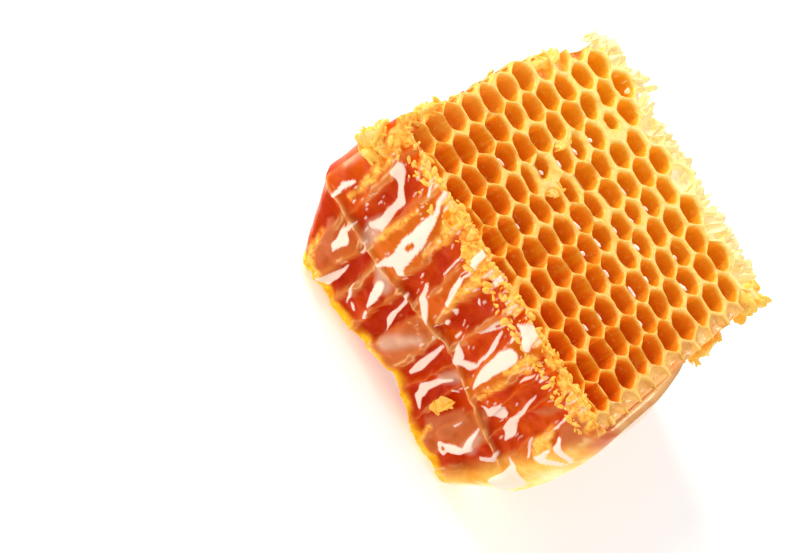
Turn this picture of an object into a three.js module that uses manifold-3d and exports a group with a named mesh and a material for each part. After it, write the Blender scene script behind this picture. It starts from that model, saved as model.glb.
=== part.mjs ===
// A cut piece of honeycomb: a wax comb with two tiers of cells back to back, and the honey over its cut side.
// Millimetres, +Z up. It lies on one comb face. The open cells look up, and the honeyed cut looks along -Y.
import * as THREE from 'three';
import { mergeVertices } from 'three/addons/utils/BufferGeometryUtils.js';
import Module from 'manifold-3d';

const wasm = await Module();
wasm.setup();
const { lerp, smoothstep, clamp } = THREE.MathUtils;

// Driving dimensions of the cells
const PITCH = 5.3; // worker cell across its flats
const COLUMN = (PITCH * Math.sqrt(3)) / 2; // from one column of cells to the next, along X
const OPENING = 2.15; // from a cell's middle to its flat, inside its wall
const CORNER = { round: 1.06, sharp: 1.12 }; // how much further a cell's corner is than its flat
const POCKET = { least: 3.2, spread: 1.6 }; // depth down to the honey in a whole cell
const UNDER_POCKET = 1.2;
const COLUMNS = { first: -7, last: 5 };
const ROWS = { first: -9, last: 9 };

// Driving dimensions of the slab
const HEIGHT = 30.5; // from one comb face to the other
const MIDRIB = 14; // height of the wax sheet that both tiers stand on
const SHEET = 1.6; // thickness of that sheet
const FRONT = -28.2; // the honeyed cut
const BACK = 31.6; // the torn side
const LEFT = -30.8;
const RIGHT = 23.3;
const LEFT_TAPER = 4.4; // the left side draws in towards the back
const UNDERCUT = { front: 9, back: 3 }; // how far the lower tier's left end is cut back
const BELLY = { out: 1.1, reach: 22 }; // the right side swells below the rim
const RIGHT_FOOT = 1.4;
const CORNER_CUT = { width: 6, height: 9 }; // the lower right corner at the front is worn away
const TORN = { tip: 3.6, tipBelow: 1.8, peak: 2.6, peakAt: -17, peakReach: 4.5 };
const LEVELS = [0, 7, MIDRIB, 18, 24, HEIGHT]; // heights of the slab's outlines
const SIDE_STEPS = 5;

// Rows draw together towards the front and spread towards the back
const WARP = { shift: 0.25, spread: 2.2, skew: 0.8, reach: 30 };
const PLACE_JITTER = 0.32;
const SIZE_JITTER = 0.07;

// Cells that are pinched, stretched or crushed
const ODD_CELLS = [
  { column: -3, row: 2, width: 0.6, length: 0.66, move: [-0.5, 0.6] },
  { column: -3, row: 0, width: 0.7, length: 0.45, move: [0, -0.5] },
  { column: -3, row: -3, width: 1.0, length: 0.62, move: [-0.1, -0.4] },
  { column: -3, row: -2, width: 0.8, length: 0.9, move: [-0.6, -0.9] },
  { column: -2, row: -1, width: 0.75, length: 0.6, move: [0.3, -1.2] },
  { column: -2, row: -2, width: 0.6, length: 0.7, move: [0.9, -0.3] },
  { column: -2, row: 0, width: 0.95, length: 1.25, move: [-0.4, -0.2] },
  { column: -1, row: 0, width: 0.95, length: 0.6, move: [-0.1, -0.4] },
  { column: -1, row: 1, width: 1.05, length: 1.2, move: [-0.1, -0.3] },
  { column: 0, row: 2, width: 0.82, length: 0.8, move: [-0.4, -0.2] },
  { column: 0, row: -5, width: 0.85, length: 0.65, move: [0.3, 0.2] },
  { column: 1, row: 1, width: 0.95, length: 0.8, move: [-0.1, 0] },
];

// The honey over the front cut
const GAP = 0.3; // between the wax and the honey
const FINEST = 0.07; // steps smaller than this are smoothed away
const COAT = 0.9; // honey over the walls between lobes
const RIDGE = { dip: -0.5, arch: 2.4, reach: 9, fall: 1.2 }; // the line between the tiers, against the midrib
const FOOT = { lip: 0.7, arch: 2.6, archAt: -1, reach: 6 }; // where the honey ends below
const RIM_DROP = 0.5;

// Ends of the lobes along X: at the rim, at the midrib from above and from below, and at the floor
const LOBE_ENDS = {
  rim: [-30.8, -27, -20.5, -14, -9, -5.5, 0.5, 4, 8, 11, 14, 18, 22.3],
  above: [-30.8, -24, -18.5, -11.5, -7, -3.5, 1, 5.5, 9.5, 12.5, 16, 19.5, 22.3],
  below: [-30.4, -25.5, -20, -15.5, -10.5, -6, -1.5, 3, 7, 11.5, 16, 20, 22.3],
  floor: [-21.8, -20.8, -18, -14.5, -10.5, -6, -1.5, 3, 6.5, 9.5, 12, 14.2, 16.3],
};
const SWELL = {
  upper: [1.0, 1.7, 1.9, 0.8, 1.3, 0.5, 1.0, 1.8, 1.0, 1.1, 1.5, 1.2],
  lower: [0.8, 1.1, 1.4, 1.2, 1.5, 1.6, 1.5, 1.4, 0.9, 1.3, 1.6, 1.2],
};
const LOBE_STEPS = [0, 0.2, 0.5, 0.8];
const LOWER_ROWS = [0, 0.16, 0.5, 0.84, 1];
const UPPER_ROWS = [0, 0.16, 0.5, 0.82, 1];
const LEFT_WRAP = { end: -12, out: 1.3, steps: 3 };
const RIGHT_WRAP = { end: 4, out: 2.3, steps: 6, draws: 14 };

// Rough wax on the outside
const LUMP_ROUGHNESS = 0.22;
const WAX_LUMPS = [
  { place: [-31.5, -26.6, HEIGHT - 5], radii: [3.5, 2.6, 2.7], seed: 1 },
  { place: [-31.0, -20, HEIGHT - 2], radii: [2.3, 4.2, 1.7], seed: 2 },
  { place: [22.6, 28, HEIGHT - 3.2], radii: [2.9, 4.6, 3.2], seed: 3 },
  { place: [24.6, 13, HEIGHT - 4.5], radii: [1.6, 5.2, 1.4], seed: 4 },
];

// The middle cell's place: the origin is under the middle of the whole piece
const MIDDLE_CELL = new THREE.Vector2(3.9, -2.65);

// A repeatable draw from 0 to 1 for a pair of whole numbers
function draw(a, b, salt = 0) {
  const wave = Math.sin(a * 12.9898 + b * 78.233 + salt * 37.719) * 43758.5453;
  return wave - Math.floor(wave);
}

// Solids: a closed geometry becomes a solid for joining and cutting, and the result a geometry again

function solidOf(geometry) {
  geometry.deleteAttribute('normal');
  geometry.deleteAttribute('uv');
  const merged = mergeVertices(geometry, 1e-4);
  return new wasm.Manifold(
    new wasm.Mesh({
      numProp: 3,
      vertProperties: new Float32Array(merged.attributes.position.array),
      triVerts: new Uint32Array(merged.index.array),
    }),
  );
}

function geometryOf(solid) {
  const { vertProperties, triVerts } = solid.getMesh();
  const geometry = new THREE.BufferGeometry();
  geometry.setAttribute('position', new THREE.BufferAttribute(vertProperties, 3));
  geometry.setIndex(new THREE.BufferAttribute(triVerts, 1));
  geometry.computeVertexNormals();
  return geometry;
}

const union = (solids) => solids.reduce((whole, next) => whole.add(next));
const largest = (solid) => solid.decompose().sort((a, b) => b.volume() - a.volume())[0];

// An upright prism over an outline of plan points
function prism(outline, low, high) {
  const shape = new THREE.Shape(outline);
  const geometry = new THREE.ExtrudeGeometry(shape, { depth: high - low, bevelEnabled: false });
  return solidOf(geometry.translate(0, 0, low));
}

// A closed body through rings of points, lowest first, each counterclockwise seen from above
function loft(rings) {
  const count = rings[0].length;
  const index = [];
  for (let level = 0; level + 1 < rings.length; level += 1) {
    for (let k = 0; k < count; k += 1) {
      const a = level * count + k;
      const b = level * count + ((k + 1) % count);
      index.push(a, b, b + count, a, b + count, a + count);
    }
  }
  const capOf = (ring) => THREE.ShapeUtils.triangulateShape(ring.map((p) => new THREE.Vector2(p.x, p.y)), []);
  const top = (rings.length - 1) * count;
  capOf(rings[0]).forEach(([a, b, c]) => index.push(a, c, b));
  capOf(rings.at(-1)).forEach(([a, b, c]) => index.push(top + a, top + b, top + c));
  const geometry = new THREE.BufferGeometry().setFromPoints(rings.flat());
  geometry.setIndex(index);
  return solidOf(geometry);
}

// A rough ball of wax, its corners pushed in and out at random
function lump({ place, radii, seed }, grow = 0) {
  const ball = new THREE.IcosahedronGeometry(1, 1);
  ball.deleteAttribute('normal');
  ball.deleteAttribute('uv');
  const geometry = mergeVertices(ball, 1e-4);
  const spots = geometry.attributes.position;
  for (let k = 0; k < spots.count; k += 1) {
    const swell = 1 + LUMP_ROUGHNESS * (draw(k, seed, 5) * 2 - 1);
    spots.setXYZ(k, spots.getX(k) * swell, spots.getY(k) * swell, spots.getZ(k) * swell);
  }
  const [x, y, z] = radii.map((radius) => radius + grow);
  return solidOf(geometry.scale(x, y, z).translate(...place));
}

// The lattice of cells

function cellMiddle(column, row) {
  const x = column * COLUMN;
  const y = (row - column / 2) * PITCH;
  const u = x / WARP.reach;
  const v = y / WARP.reach;
  return new THREE.Vector2(
    x + PLACE_JITTER * (draw(column, row, 1) * 2 - 1),
    y + WARP.shift + WARP.spread * v * v - WARP.skew * u * v + PLACE_JITTER * (draw(column, row, 2) * 2 - 1),
  );
}

// A cell's outline: six rounded corners with the flats' middles between them, or six plain corners.
// The side of a cut cell that faces outwards is moved on past the slab.
function cellOutline(middle, { width = 1, length = 1, reach = OPENING, plain = false, open = null } = {}) {
  const sides = plain ? 6 : 12;
  return Array.from({ length: sides }, (_, k) => {
    const angle = (k / sides) * 2 * Math.PI;
    const atFlat = !plain && k % 2 === 1;
    const radius = reach * (atFlat ? 1 : plain ? CORNER.sharp : CORNER.round);
    const offset = new THREE.Vector2(Math.cos(angle) * width, Math.sin(angle) * length).multiplyScalar(radius);
    const point = middle.clone().add(offset);
    return open && offset.dot(open) > 0.01 ? point.add(open) : point;
  });
}

// The wax slab's outline at a height. Its left end is cut back below the midrib, most of all at the front.

const undercutAt = (y) => lerp(UNDERCUT.front, UNDERCUT.back, smoothstep(y, FRONT, BACK));
const cornerCutAt = (z) => CORNER_CUT.width * Math.max(0, 1 - z / CORNER_CUT.height);

function leftAt(y, z) {
  const below = Math.max(0, 1 - z / MIDRIB);
  return LEFT + LEFT_TAPER * smoothstep(y, 4, BACK) + undercutAt(y) * below;
}

function rightAt(y, z) {
  const depth = Math.min(1, (HEIGHT - z) / BELLY.reach);
  const foot = RIGHT_FOOT * Math.max(0, 1 - z / MIDRIB) ** 2;
  return RIGHT + BELLY.out * Math.sin(Math.PI * depth) * smoothstep(y, FRONT, -6) - foot;
}

// Height of the wax's underside at a place in plan
function underside(x, y) {
  const inward = (x - leftAt(y, MIDRIB)) / undercutAt(y);
  return MIDRIB * clamp(1 - inward, 0, 1);
}

// The torn side: the walls between the columns end in tips, and the cells between them are open
function tornAt(x, tip, level) {
  const peak = TORN.peak * Math.exp(-(((x - TORN.peakAt) / TORN.peakReach) ** 2));
  const reach = LEVELS[level] > MIDRIB ? TORN.tip : TORN.tipBelow;
  return BACK + peak + reach * (draw(tip, level, 7) - 0.3);
}

// The slab's outline at one level, from its front left corner
function combRing(z, level, grow = 0) {
  const cut = cornerCutAt(z);
  const ring = [
    [leftAt(FRONT, z) - grow, FRONT - grow],
    [RIGHT - 1 - cut + grow, FRONT - grow],
  ];
  for (let k = 0; k <= SIDE_STEPS; k += 1) {
    const y = lerp(FRONT + 1.5 + cut, BACK - 3, k / SIDE_STEPS);
    ring.push([rightAt(y, z) + grow, y]);
  }
  const leftEnd = leftAt(BACK, z);
  const lastTip = Math.ceil((LEFT + LEFT_TAPER) / (COLUMN / 2));
  for (let tip = 2 * COLUMNS.last - 1; tip >= lastTip; tip -= 1) {
    const x = (tip / 2) * COLUMN;
    const y = tip % 2 === 0 ? BACK - 1.5 : tornAt(x, tip, level);
    ring.push([Math.max(x, leftEnd + 0.4 * (tip - lastTip + 1)), y + grow]);
  }
  for (let k = SIDE_STEPS; k > 0; k -= 1) {
    const y = lerp(FRONT, BACK - 2, k / SIDE_STEPS);
    ring.push([leftAt(y, z) - grow, y]);
  }
  return ring.map(([x, y]) => new THREE.Vector3(x, y, z));
}

// The cells, each cut from the slab

const OUTWARD = {
  front: new THREE.Vector2(0, -4),
  back: new THREE.Vector2(0, 9),
  left: new THREE.Vector2(-4, 0),
  right: new THREE.Vector2(5, 0),
};
const WALL_ROOM = { front: 2.5, back: 3.7, left: 2.5, right: 2.5 }; // a cell nearer the side is cut open by it
const PAST_EDGE = -1.7; // a cell further out than this leaves no mark

function sideOf(middle, z) {
  const room = {
    front: middle.y - FRONT,
    back: BACK - middle.y,
    left: middle.x - leftAt(middle.y, z),
    right: rightAt(middle.y, z) - middle.x,
  };
  const side = Object.keys(room).reduce((a, b) => (room[a] <= room[b] ? a : b));
  if (room[side] < PAST_EDGE) return 'outside';
  return room[side] < WALL_ROOM[side] ? side : 'whole';
}

const UPPER_TIER = [MIDRIB + SHEET / 2, HEIGHT + 1];
const LOWER_TIER = [-1, MIDRIB - SHEET / 2];
const cuts = [];
const honeyCells = []; // cells that the front cut opens, which hold honey

function cutUpperCell(column, row) {
  const odd = ODD_CELLS.find((cell) => cell.column === column && cell.row === row);
  const size = 1 + SIZE_JITTER * (draw(column, row, 3) * 2 - 1);
  const { width, length, move } = odd ?? { width: size, length: size, move: [0, 0] };
  const middle = cellMiddle(column, row).add(new THREE.Vector2(...move));
  const side = sideOf(middle, HEIGHT);
  if (side === 'whole') {
    const depth = POCKET.least + POCKET.spread * draw(column, row, 4);
    cuts.push(prism(cellOutline(middle, { width, length }), HEIGHT - depth, HEIGHT + 1));
  } else if (side === 'front') {
    honeyCells.push({ middle, tier: UPPER_TIER });
  } else if (side !== 'outside') {
    cuts.push(prism(cellOutline(middle, { plain: true, open: OUTWARD[side] }), ...UPPER_TIER));
  }
}

// The lower tier stands half a cell further on, and opens downwards
function cutLowerCell(column, row) {
  const middle = cellMiddle(column, row).add(new THREE.Vector2(0, PITCH / 2));
  const side = sideOf(middle, MIDRIB - 1);
  const footRoom = rightAt(middle.y, 0) - OPENING - 2 - cornerCutAt(0) * smoothstep(-middle.y, 12, 24);
  if (side === 'back' || side === 'right') {
    cuts.push(prism(cellOutline(middle, { plain: true, open: OUTWARD[side] }), ...LOWER_TIER));
  } else if ((side === 'whole' || side === 'left') && middle.x < footRoom) {
    const roof = Math.min(underside(middle.x - OPENING, middle.y) + UNDER_POCKET, LOWER_TIER[1]);
    cuts.push(prism(cellOutline(middle, { plain: true }), -1, roof));
  }
}

for (let column = COLUMNS.first; column <= COLUMNS.last; column += 1) {
  for (let row = ROWS.first; row <= ROWS.last; row += 1) {
    cutUpperCell(column, row);
    cutLowerCell(column, row);
  }
}
for (let column = -4; column < 4; column += 1) {
  const middle = new THREE.Vector2(column * COLUMN, FRONT + 0.5);
  honeyCells.push({ middle, tier: [2, LOWER_TIER[1]] });
}

// A cell of the front cut, or the honey in it when the reach and the ends are drawn in
function frontCell({ middle, tier: [low, high] }, inset = 0) {
  const outline = cellOutline(middle, { reach: OPENING - inset, plain: true, open: OUTWARD.front });
  return prism(outline, low + inset, inset > 0 ? Math.min(high, HEIGHT - 1.2) - inset : high);
}

// The wax comb

const slab = loft(LEVELS.map((z, level) => combRing(z, level)));
const cells = union([...cuts, ...honeyCells.map((cell) => frontCell(cell))]);
const comb = largest(union([slab.subtract(cells), ...WAX_LUMPS.map((spec) => lump(spec))])).simplify(FINEST);

// The honey: lobes that swell out of the cut cells, from round the left corner to along the right side

const ridgeAt = (x) =>
  MIDRIB + RIDGE.dip + RIDGE.arch * Math.exp(-((x / RIDGE.reach) ** 2)) - RIDGE.fall * smoothstep(x, 10, 20);
const footAt = (x) =>
  Math.max(0, FOOT.lip + FOOT.arch * Math.exp(-(((x - FOOT.archAt) / FOOT.reach) ** 2)) - 2 * smoothstep(x, 6, 12));

// A row of honey across the cut: its height at a place, how full its lobes are, and where the lobes end
function honeyRow(tier, share) {
  const [from, to] = tier === 'upper' ? [LOBE_ENDS.above, LOBE_ENDS.rim] : [LOBE_ENDS.floor, LOBE_ENDS.below];
  const fullness = Math.sqrt(Math.sin(Math.PI * lerp(0.06, 0.93, share)));
  return {
    height: (x) =>
      tier === 'upper'
        ? lerp(ridgeAt(x) + 0.7, HEIGHT - RIM_DROP, share)
        : lerp(footAt(x), ridgeAt(x) - 0.7, share),
    ends: from.map((end, k) => lerp(end, to[k], share)),
    swell: SWELL[tier].map((out) => out * fullness),
    coat: COAT * lerp(0.6, 1, Math.min(1, fullness)),
  };
}

function honeyRing({ height, ends, swell, coat }) {
  const ring = [];
  const zLeft = height(ends[0]);
  const zRight = height(ends.at(-1));

  // Round the left corner, thin at its far end
  for (let k = 0; k <= LEFT_WRAP.steps; k += 1) {
    const t = k / LEFT_WRAP.steps;
    const y = lerp(LEFT_WRAP.end, FRONT, t);
    const out = LEFT_WRAP.out * smoothstep(t, 0.1, 0.6) - 0.6 * (1 - smoothstep(t, 0, 0.3));
    ring.push([leftAt(y, zLeft) - out, y, zLeft]);
  }

  // Lobe by lobe along the front
  swell.forEach((out, lobe) => {
    LOBE_STEPS.forEach((share) => {
      const x = lerp(ends[lobe], ends[lobe + 1], share);
      const crown = Math.sqrt(1 - (2 * share - 1) ** 2);
      ring.push([x, FRONT - coat - out * crown, height(x)]);
    });
  });

  // Round the right corner and along the right side, lowest in the middle of its length
  const cut = cornerCutAt(zRight);
  const end = RIGHT_WRAP.end - RIGHT_WRAP.draws * (1 - zRight / HEIGHT) ** 2;
  const belly = RIGHT_WRAP.out * Math.sin(Math.PI * clamp((HEIGHT + 2 - zRight) / 28, 0, 1)) ** 0.7;
  ring.push([ends.at(-1) + 0.9, FRONT - 0.6 * coat, zRight]);
  for (let k = 0; k <= RIGHT_WRAP.steps; k += 1) {
    const t = k / RIGHT_WRAP.steps;
    const y = lerp(FRONT + 1.5 + cut, end, t);
    const out = (0.6 + belly) * (1 - smoothstep(t, 0.5, 1)) - 0.6 * smoothstep(t, 0.8, 1);
    ring.push([rightAt(y, zRight) + out, y, zRight]);
  }

  // Back through the wax, which is cut away from the honey later
  const inside = { left: -16, right: 12, y: FRONT + 4 };
  ring.push([inside.right, end, zRight], [inside.right, inside.y, zRight]);
  ring.push([inside.left, inside.y, zLeft], [inside.left, LEFT_WRAP.end, zLeft]);
  return ring.map((point) => new THREE.Vector3(...point));
}

const ridge = { ...honeyRow('upper', 0), height: ridgeAt, coat: COAT, swell: SWELL.upper.map((out) => out * 0.25) };
const rows = [
  ...LOWER_ROWS.map((share) => honeyRow('lower', share)),
  ridge,
  ...UPPER_ROWS.map((share) => honeyRow('upper', share)),
];
const coat = loft(rows.map(honeyRing));
const wax = loft([-2, ...LEVELS.slice(1, -1), HEIGHT + 2].map((z, level) => combRing(z, level, GAP)));
const filling = union(honeyCells.map((cell) => frontCell(cell, GAP))).intersect(coat);
const besideLumps = union(WAX_LUMPS.map((spec) => lump(spec, GAP)));
const honey = largest(coat.subtract(wax).add(filling).subtract(besideLumps)).simplify(FINEST);

// The finished piece

function piece(name, solid, colour, roughness) {
  const material = new THREE.MeshStandardMaterial({ color: colour, roughness, metalness: 0 });
  const mesh = new THREE.Mesh(geometryOf(solid), material);
  mesh.name = name;
  return mesh;
}

const honeycomb = new THREE.Group();
honeycomb.add(piece('comb', comb, 0xf2b945, 0.45), piece('honey', honey, 0xcc4a08, 0.08));
honeycomb.position.set(MIDDLE_CELL.x, MIDDLE_CELL.y, 0);

export default honeycomb;
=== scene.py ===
"""A cut piece of honeycomb on a pale floor: wax cells, and honey over the cut side.

Sizes are in millimetres in the comb's own plan, with the height measured from the floor. `place` turns them into the
frame's metres.
"""
import math

import bpy
import numpy as np
from bpy.props import IntProperty
from mathutils import Matrix, Vector


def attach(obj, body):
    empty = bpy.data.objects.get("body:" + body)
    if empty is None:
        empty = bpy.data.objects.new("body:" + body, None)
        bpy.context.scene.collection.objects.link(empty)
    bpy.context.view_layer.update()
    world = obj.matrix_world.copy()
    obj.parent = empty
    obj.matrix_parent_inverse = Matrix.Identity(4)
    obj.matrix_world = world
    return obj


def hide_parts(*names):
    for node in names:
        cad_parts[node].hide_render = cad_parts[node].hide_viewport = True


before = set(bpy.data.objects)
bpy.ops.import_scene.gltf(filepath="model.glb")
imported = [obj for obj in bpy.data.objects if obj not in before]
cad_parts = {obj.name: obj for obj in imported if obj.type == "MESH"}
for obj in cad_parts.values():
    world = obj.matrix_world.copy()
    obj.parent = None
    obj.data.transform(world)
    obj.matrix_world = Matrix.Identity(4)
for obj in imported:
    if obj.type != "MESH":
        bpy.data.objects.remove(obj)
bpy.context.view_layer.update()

bl_info = {
    "name": "Honeycomb piece",
    "version": (1, 0, 0),
    "blender": (4, 5, 0),
    "location": "View3D > Sidebar > Honeycomb",
    "description": "Builds the wax cells, the honey over the cut side, loose wax and a stage",
    "category": "Object",
}

MM = 0.001
WELD = 1e-6
MIDDLE_CELL = (3.9, -2.65)

# The comb's cells
PITCH = 5.3
COLUMN = PITCH * math.sqrt(3) / 2
OPENING = 2.4
POCKET = (3.2, 1.6)
RIM_DROP = 0.4
FIRST_COLUMN, LAST_COLUMN = -7, 5
FIRST_ROW, LAST_ROW = -9, 9
WARP_SHIFT, WARP_SPREAD, WARP_SKEW, WARP_REACH = 0.25, 2.2, 0.8, 30
PLACE_JITTER, SIZE_JITTER = 0.32, 0.07

# A cell's profile: shares of the way from the walls' middle line to the opening over the rim, then shares of its
# depth down the wall, which thins by so much; the lower cells' depth; shares of the honey's rings in a cell
RIM_SHARES = np.array([0, 0.4, 0.74, 0.92, 1.0])
WALL_SHARES = np.array([0.1, 0.22, 0.4, 0.7, 1.0])
WALL_THINS, LOWER_DEPTH = 0.42, 2.2
FLOOR_SHARES = np.array([1.03, 0.9, 0.75, 0.5, 0.25, 0.0])
# Which cells the sides cut, in the order front, back, left, right: those with their middle nearer than this. A cell
# so far outside is gone
FRONT_CUT, BACK_CUT, LEFT_CUT, RIGHT_CUT = range(4)
CUT_REACH, CELL_GONE = np.array([2.5, 3.7, 2.5, 2.5]), -2.6

# The honey in cut cells: how far its top is below the rim for the same sides, then a column's profile from the
# middle of its top to the middle of its foot, as shares of its width and of its height, and how the top rises
COLUMN_TOPS = np.array([1.5, 2.0, 1.6, 0.75])
COLUMN_WIDTHS = np.array([0, 0.4, 0.75, 0.93, 1, 1, 1, 1, 0.95, 0.5, 0])
COLUMN_DROPS = np.array([0, 0, 0, 0, 0, 0.12, 0.35, 0.75, 1, 1, 1])
COLUMN_RISES = 0.6 * np.array([0, 0.03, 0.3, 0.75, 1, 0.6, 0, 0, 0, 0, 0])
COLUMN_INSET = 0.35

# Cells that are pinched, stretched or crushed: column, row, width, length, move along X and Y
ODD_CELLS = (
    (-3, 2, 0.6, 0.66, -0.5, 0.6), (-3, 0, 0.9, 0.75, 0, -0.5), (-3, -3, 1, 0.62, -0.1, -0.4),
    (-3, -2, 0.8, 0.9, -0.6, -0.9), (-2, -1, 1.0, 0.85, 0.2, -0.7), (-2, -2, 0.85, 0.9, 0.5, -0.2),
    (-2, 0, 0.95, 1.25, -0.4, -0.2), (-1, 0, 0.95, 0.75, -0.1, -0.4), (-1, 1, 1.05, 1.2, -0.1, -0.3),
    (0, 2, 0.82, 0.8, -0.4, -0.2), (0, -5, 0.85, 0.65, 0.3, 0.2), (1, 1, 0.95, 0.8, -0.1, 0),
)

# The slab
HEIGHT, MIDRIB, SHEET = 30.5, 14.0, 1.6
FRONT, BACK, LEFT, RIGHT = -28.2, 31.6, -30.8, 23.3
LEFT_TAPER = 4.4
UNDERCUT = (9.0, 3.0)
BELLY_OUT, BELLY_REACH, RIGHT_FOOT = 1.1, 22, 1.4
CORNER_WIDTH, CORNER_HEIGHT = 5.0, 9.0
WORN_CORNER, WORN_FRONT = 9, 2.5
BACK_PEAK, BACK_PEAK_AT, BACK_PEAK_REACH, BACK_ROUGHNESS = 2.2, -17, 4.5, 0.9
X_MIDDLE, Y_MIDDLE = (LEFT + RIGHT) / 2, (FRONT + BACK) / 2

# The honey's lobes: their ends along X at the rim, above and below the midrib and at the floor
LOBE_RIM = (-30.8, -27, -20.5, -14, -9, -5.5, 0.5, 4, 8, 11, 14, 18, 22.3)
LOBE_ABOVE = (-30.8, -24, -18.5, -11.5, -7, -3.5, 1, 5.5, 9.5, 12.5, 16, 19.5, 22.3)
LOBE_BELOW = (-30.4, -25.5, -20, -15.5, -10.5, -6, -1.5, 3, 7, 11.5, 16, 20, 22.3)
LOBE_FLOOR = (-21.8, -20.8, -18, -14.5, -10.5, -6, -1.5, 3, 6.5, 9.8, 12.8, 15.6, 18.2)
LOBES = len(LOBE_RIM) - 1
# How far each lobe dips between its walls; a negative one stands out
DIP_UPPER = (0.2, 1.3, -0.6, 1.2, -0.2, 1.4, 0.7, -0.8, 0.6, 1.0, 0.9, -0.1)
DIP_LOWER = (0.3, -0.2, 1.2, 0.3, 1.4, -0.5, 1.3, 0.9, 0.8, -0.3, 0.6, -0.3)
WALL_OUT, MOST_OUT = 1.75, 2.9
# Where the coat ends on the right side at the rim, how far it falls back by the floor, and how much earlier it ends
# on the left side
COAT_END, COAT_FALL, LEFT_COAT_SHIFT = 3, 13, 11


# Numbers

def draw(a, b, salt=0):
    """A repeatable number from 0 to 1 for a pair of whole numbers: the fraction left of a large sine."""
    wave = np.sin(a * 12.9898 + b * 78.233 + salt * 37.719) * 43758.5453
    return wave - np.floor(wave)


def smoothstep(x, low, high):
    """0 below low, 1 above high, and the cubic ease 3t² - 2t³ between them."""
    t = np.clip((x - low) / (high - low), 0, 1)
    return t * t * (3 - 2 * t)


def lerp(a, b, t):
    """The straight blend from a to b."""
    return a + (b - a) * t


def bell(x, middle, reach):
    """A hump of height 1: e to the minus square of the distance from its middle over its reach."""
    return np.exp(-(((x - middle) / reach) ** 2))


def noise(points, size, seed=0):
    """Smooth noise from -1 to 1 with lumps of the given size. A draw stands at each corner of a grid of boxes, and
    the eight corners round a point are blended by the cubic ease of its place in its box."""
    scaled = np.asarray(points, float) / size
    base = np.floor(scaled)
    ease = scaled - base
    ease = ease * ease * (3 - 2 * ease)
    total = 0
    for corner in range(8):
        step = np.array([corner & 1, corner >> 1 & 1, corner >> 2 & 1])
        weight = np.prod(np.where(step, ease, 1 - ease), axis=-1)
        i, j, k = np.moveaxis(base + step, -1, 0)
        total = total + weight * draw(i + 61 * k, j - 17 * k, seed)
    return 2 * total - 1


def rough(points, size, octaves, seed=0):
    """Noise at several sizes, each half the size and half the height of the last, scaled back to about 1."""
    total = sum(noise(points, size / 2 ** n, seed + 3 * n) / 2 ** n for n in range(octaves))
    return total / (2 - 2 ** (1 - octaves))


# The slab's sides

def undercut_at(y):
    """How far the lower tier's left end is cut back, eased from the front's value to the back's."""
    return lerp(*UNDERCUT, smoothstep(y, FRONT, BACK))


def left_at(y, z):
    """The left side's X: it draws in towards the back, and runs in below the midrib by the undercut."""
    below = np.maximum(0, 1 - z / MIDRIB)
    return LEFT + LEFT_TAPER * smoothstep(y, 4, BACK) + undercut_at(y) * below


def right_at(y, z):
    """The right side's X: half a sine wave swells it below the rim, and it draws in at the foot."""
    depth = np.minimum(1, (HEIGHT - z) / BELLY_REACH)
    foot = RIGHT_FOOT * np.maximum(0, 1 - z / MIDRIB) ** 2
    return RIGHT + BELLY_OUT * np.sin(math.pi * depth) * smoothstep(y, FRONT, -6) - foot


def corner_cut_at(z):
    """How much of the lower right corner at the front is worn away, falling to nothing at its height."""
    return CORNER_WIDTH * np.maximum(0, 1 - z / CORNER_HEIGHT)


def coat_end_at(z):
    """The Y where the honey's coat ends on the right side: it runs back with height, and noise makes it drip."""
    spot = np.stack([0 * z, 0 * z, z], -1)
    return COAT_END - COAT_FALL * (1 - z / HEIGHT) ** 2 + 2.4 * noise(spot, 5.0, 52) + 0.8 * noise(spot, 1.8, 53)


def worn_away(x, y):
    """Where the lower tier ends at its worn front corner and short of the honey's arch."""
    return (RIGHT - x + y - FRONT < WORN_CORNER) | (y < FRONT + WORN_FRONT)


def underside(x, y):
    """Height of the wax's underside: 0, and rising to the midrib along the undercut left end."""
    inward = (x - left_at(y, MIDRIB)) / undercut_at(y)
    return MIDRIB * np.clip(1 - inward, 0, 1)


def back_at(x):
    """The torn side's Y: a base line, a peak towards the left and unevenness from tip to tip."""
    spot = np.stack([x, 0 * x, 0 * x], -1)
    return BACK - 0.4 + BACK_PEAK * bell(x, BACK_PEAK_AT, BACK_PEAK_REACH) + BACK_ROUGHNESS * noise(spot, 3.1, 8)


# Meshes

def place(points):
    """Plan millimetres to the frame's metres."""
    return (np.asarray(points, float) + [*MIDDLE_CELL, 0]) * MM


def tube_faces(rings, around):
    """Quads of a tube of rings that close on themselves. Each ring is counterclockwise seen from the side of the
    last ring, so the faces look outwards."""
    ring, k = np.meshgrid(np.arange(rings - 1), np.arange(around), indexing="ij")
    a = ring * around + k
    b = ring * around + (k + 1) % around
    return np.stack([a, b, b + around, a + around], -1).reshape(-1, 4)


def grid_faces(count, columns, rows):
    """Quads of many grids whose columns close on themselves, as an array of grid, column and row. They face up where
    the columns run counterclockwise and the rows inwards."""
    grid, k, row = np.meshgrid(np.arange(count), np.arange(columns), np.arange(rows - 1), indexing="ij")
    here, there = (grid * columns + k) * rows + row, (grid * columns + (k + 1) % columns) * rows + row
    return np.stack([here, there, there + 1, here + 1], -1)


def repeated(faces, count):
    """The faces of a number of copies whose points follow each other."""
    offset = (np.arange(count) * (faces.max() + 1))[:, None, None]
    return (faces[None] + offset).reshape(-1, 4)


def box_round(around):
    """A superellipse of power 12, nearly a square from -1 to 1: the cosine and sine of each angle over the twelfth
    root of the sum of their twelfth powers."""
    angle = np.arange(around) / around * 2 * math.pi
    power = (np.abs(np.cos(angle)) ** 12 + np.abs(np.sin(angle)) ** 12) ** (-1 / 12)
    return np.cos(angle) * power, np.sin(angle) * power


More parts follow.
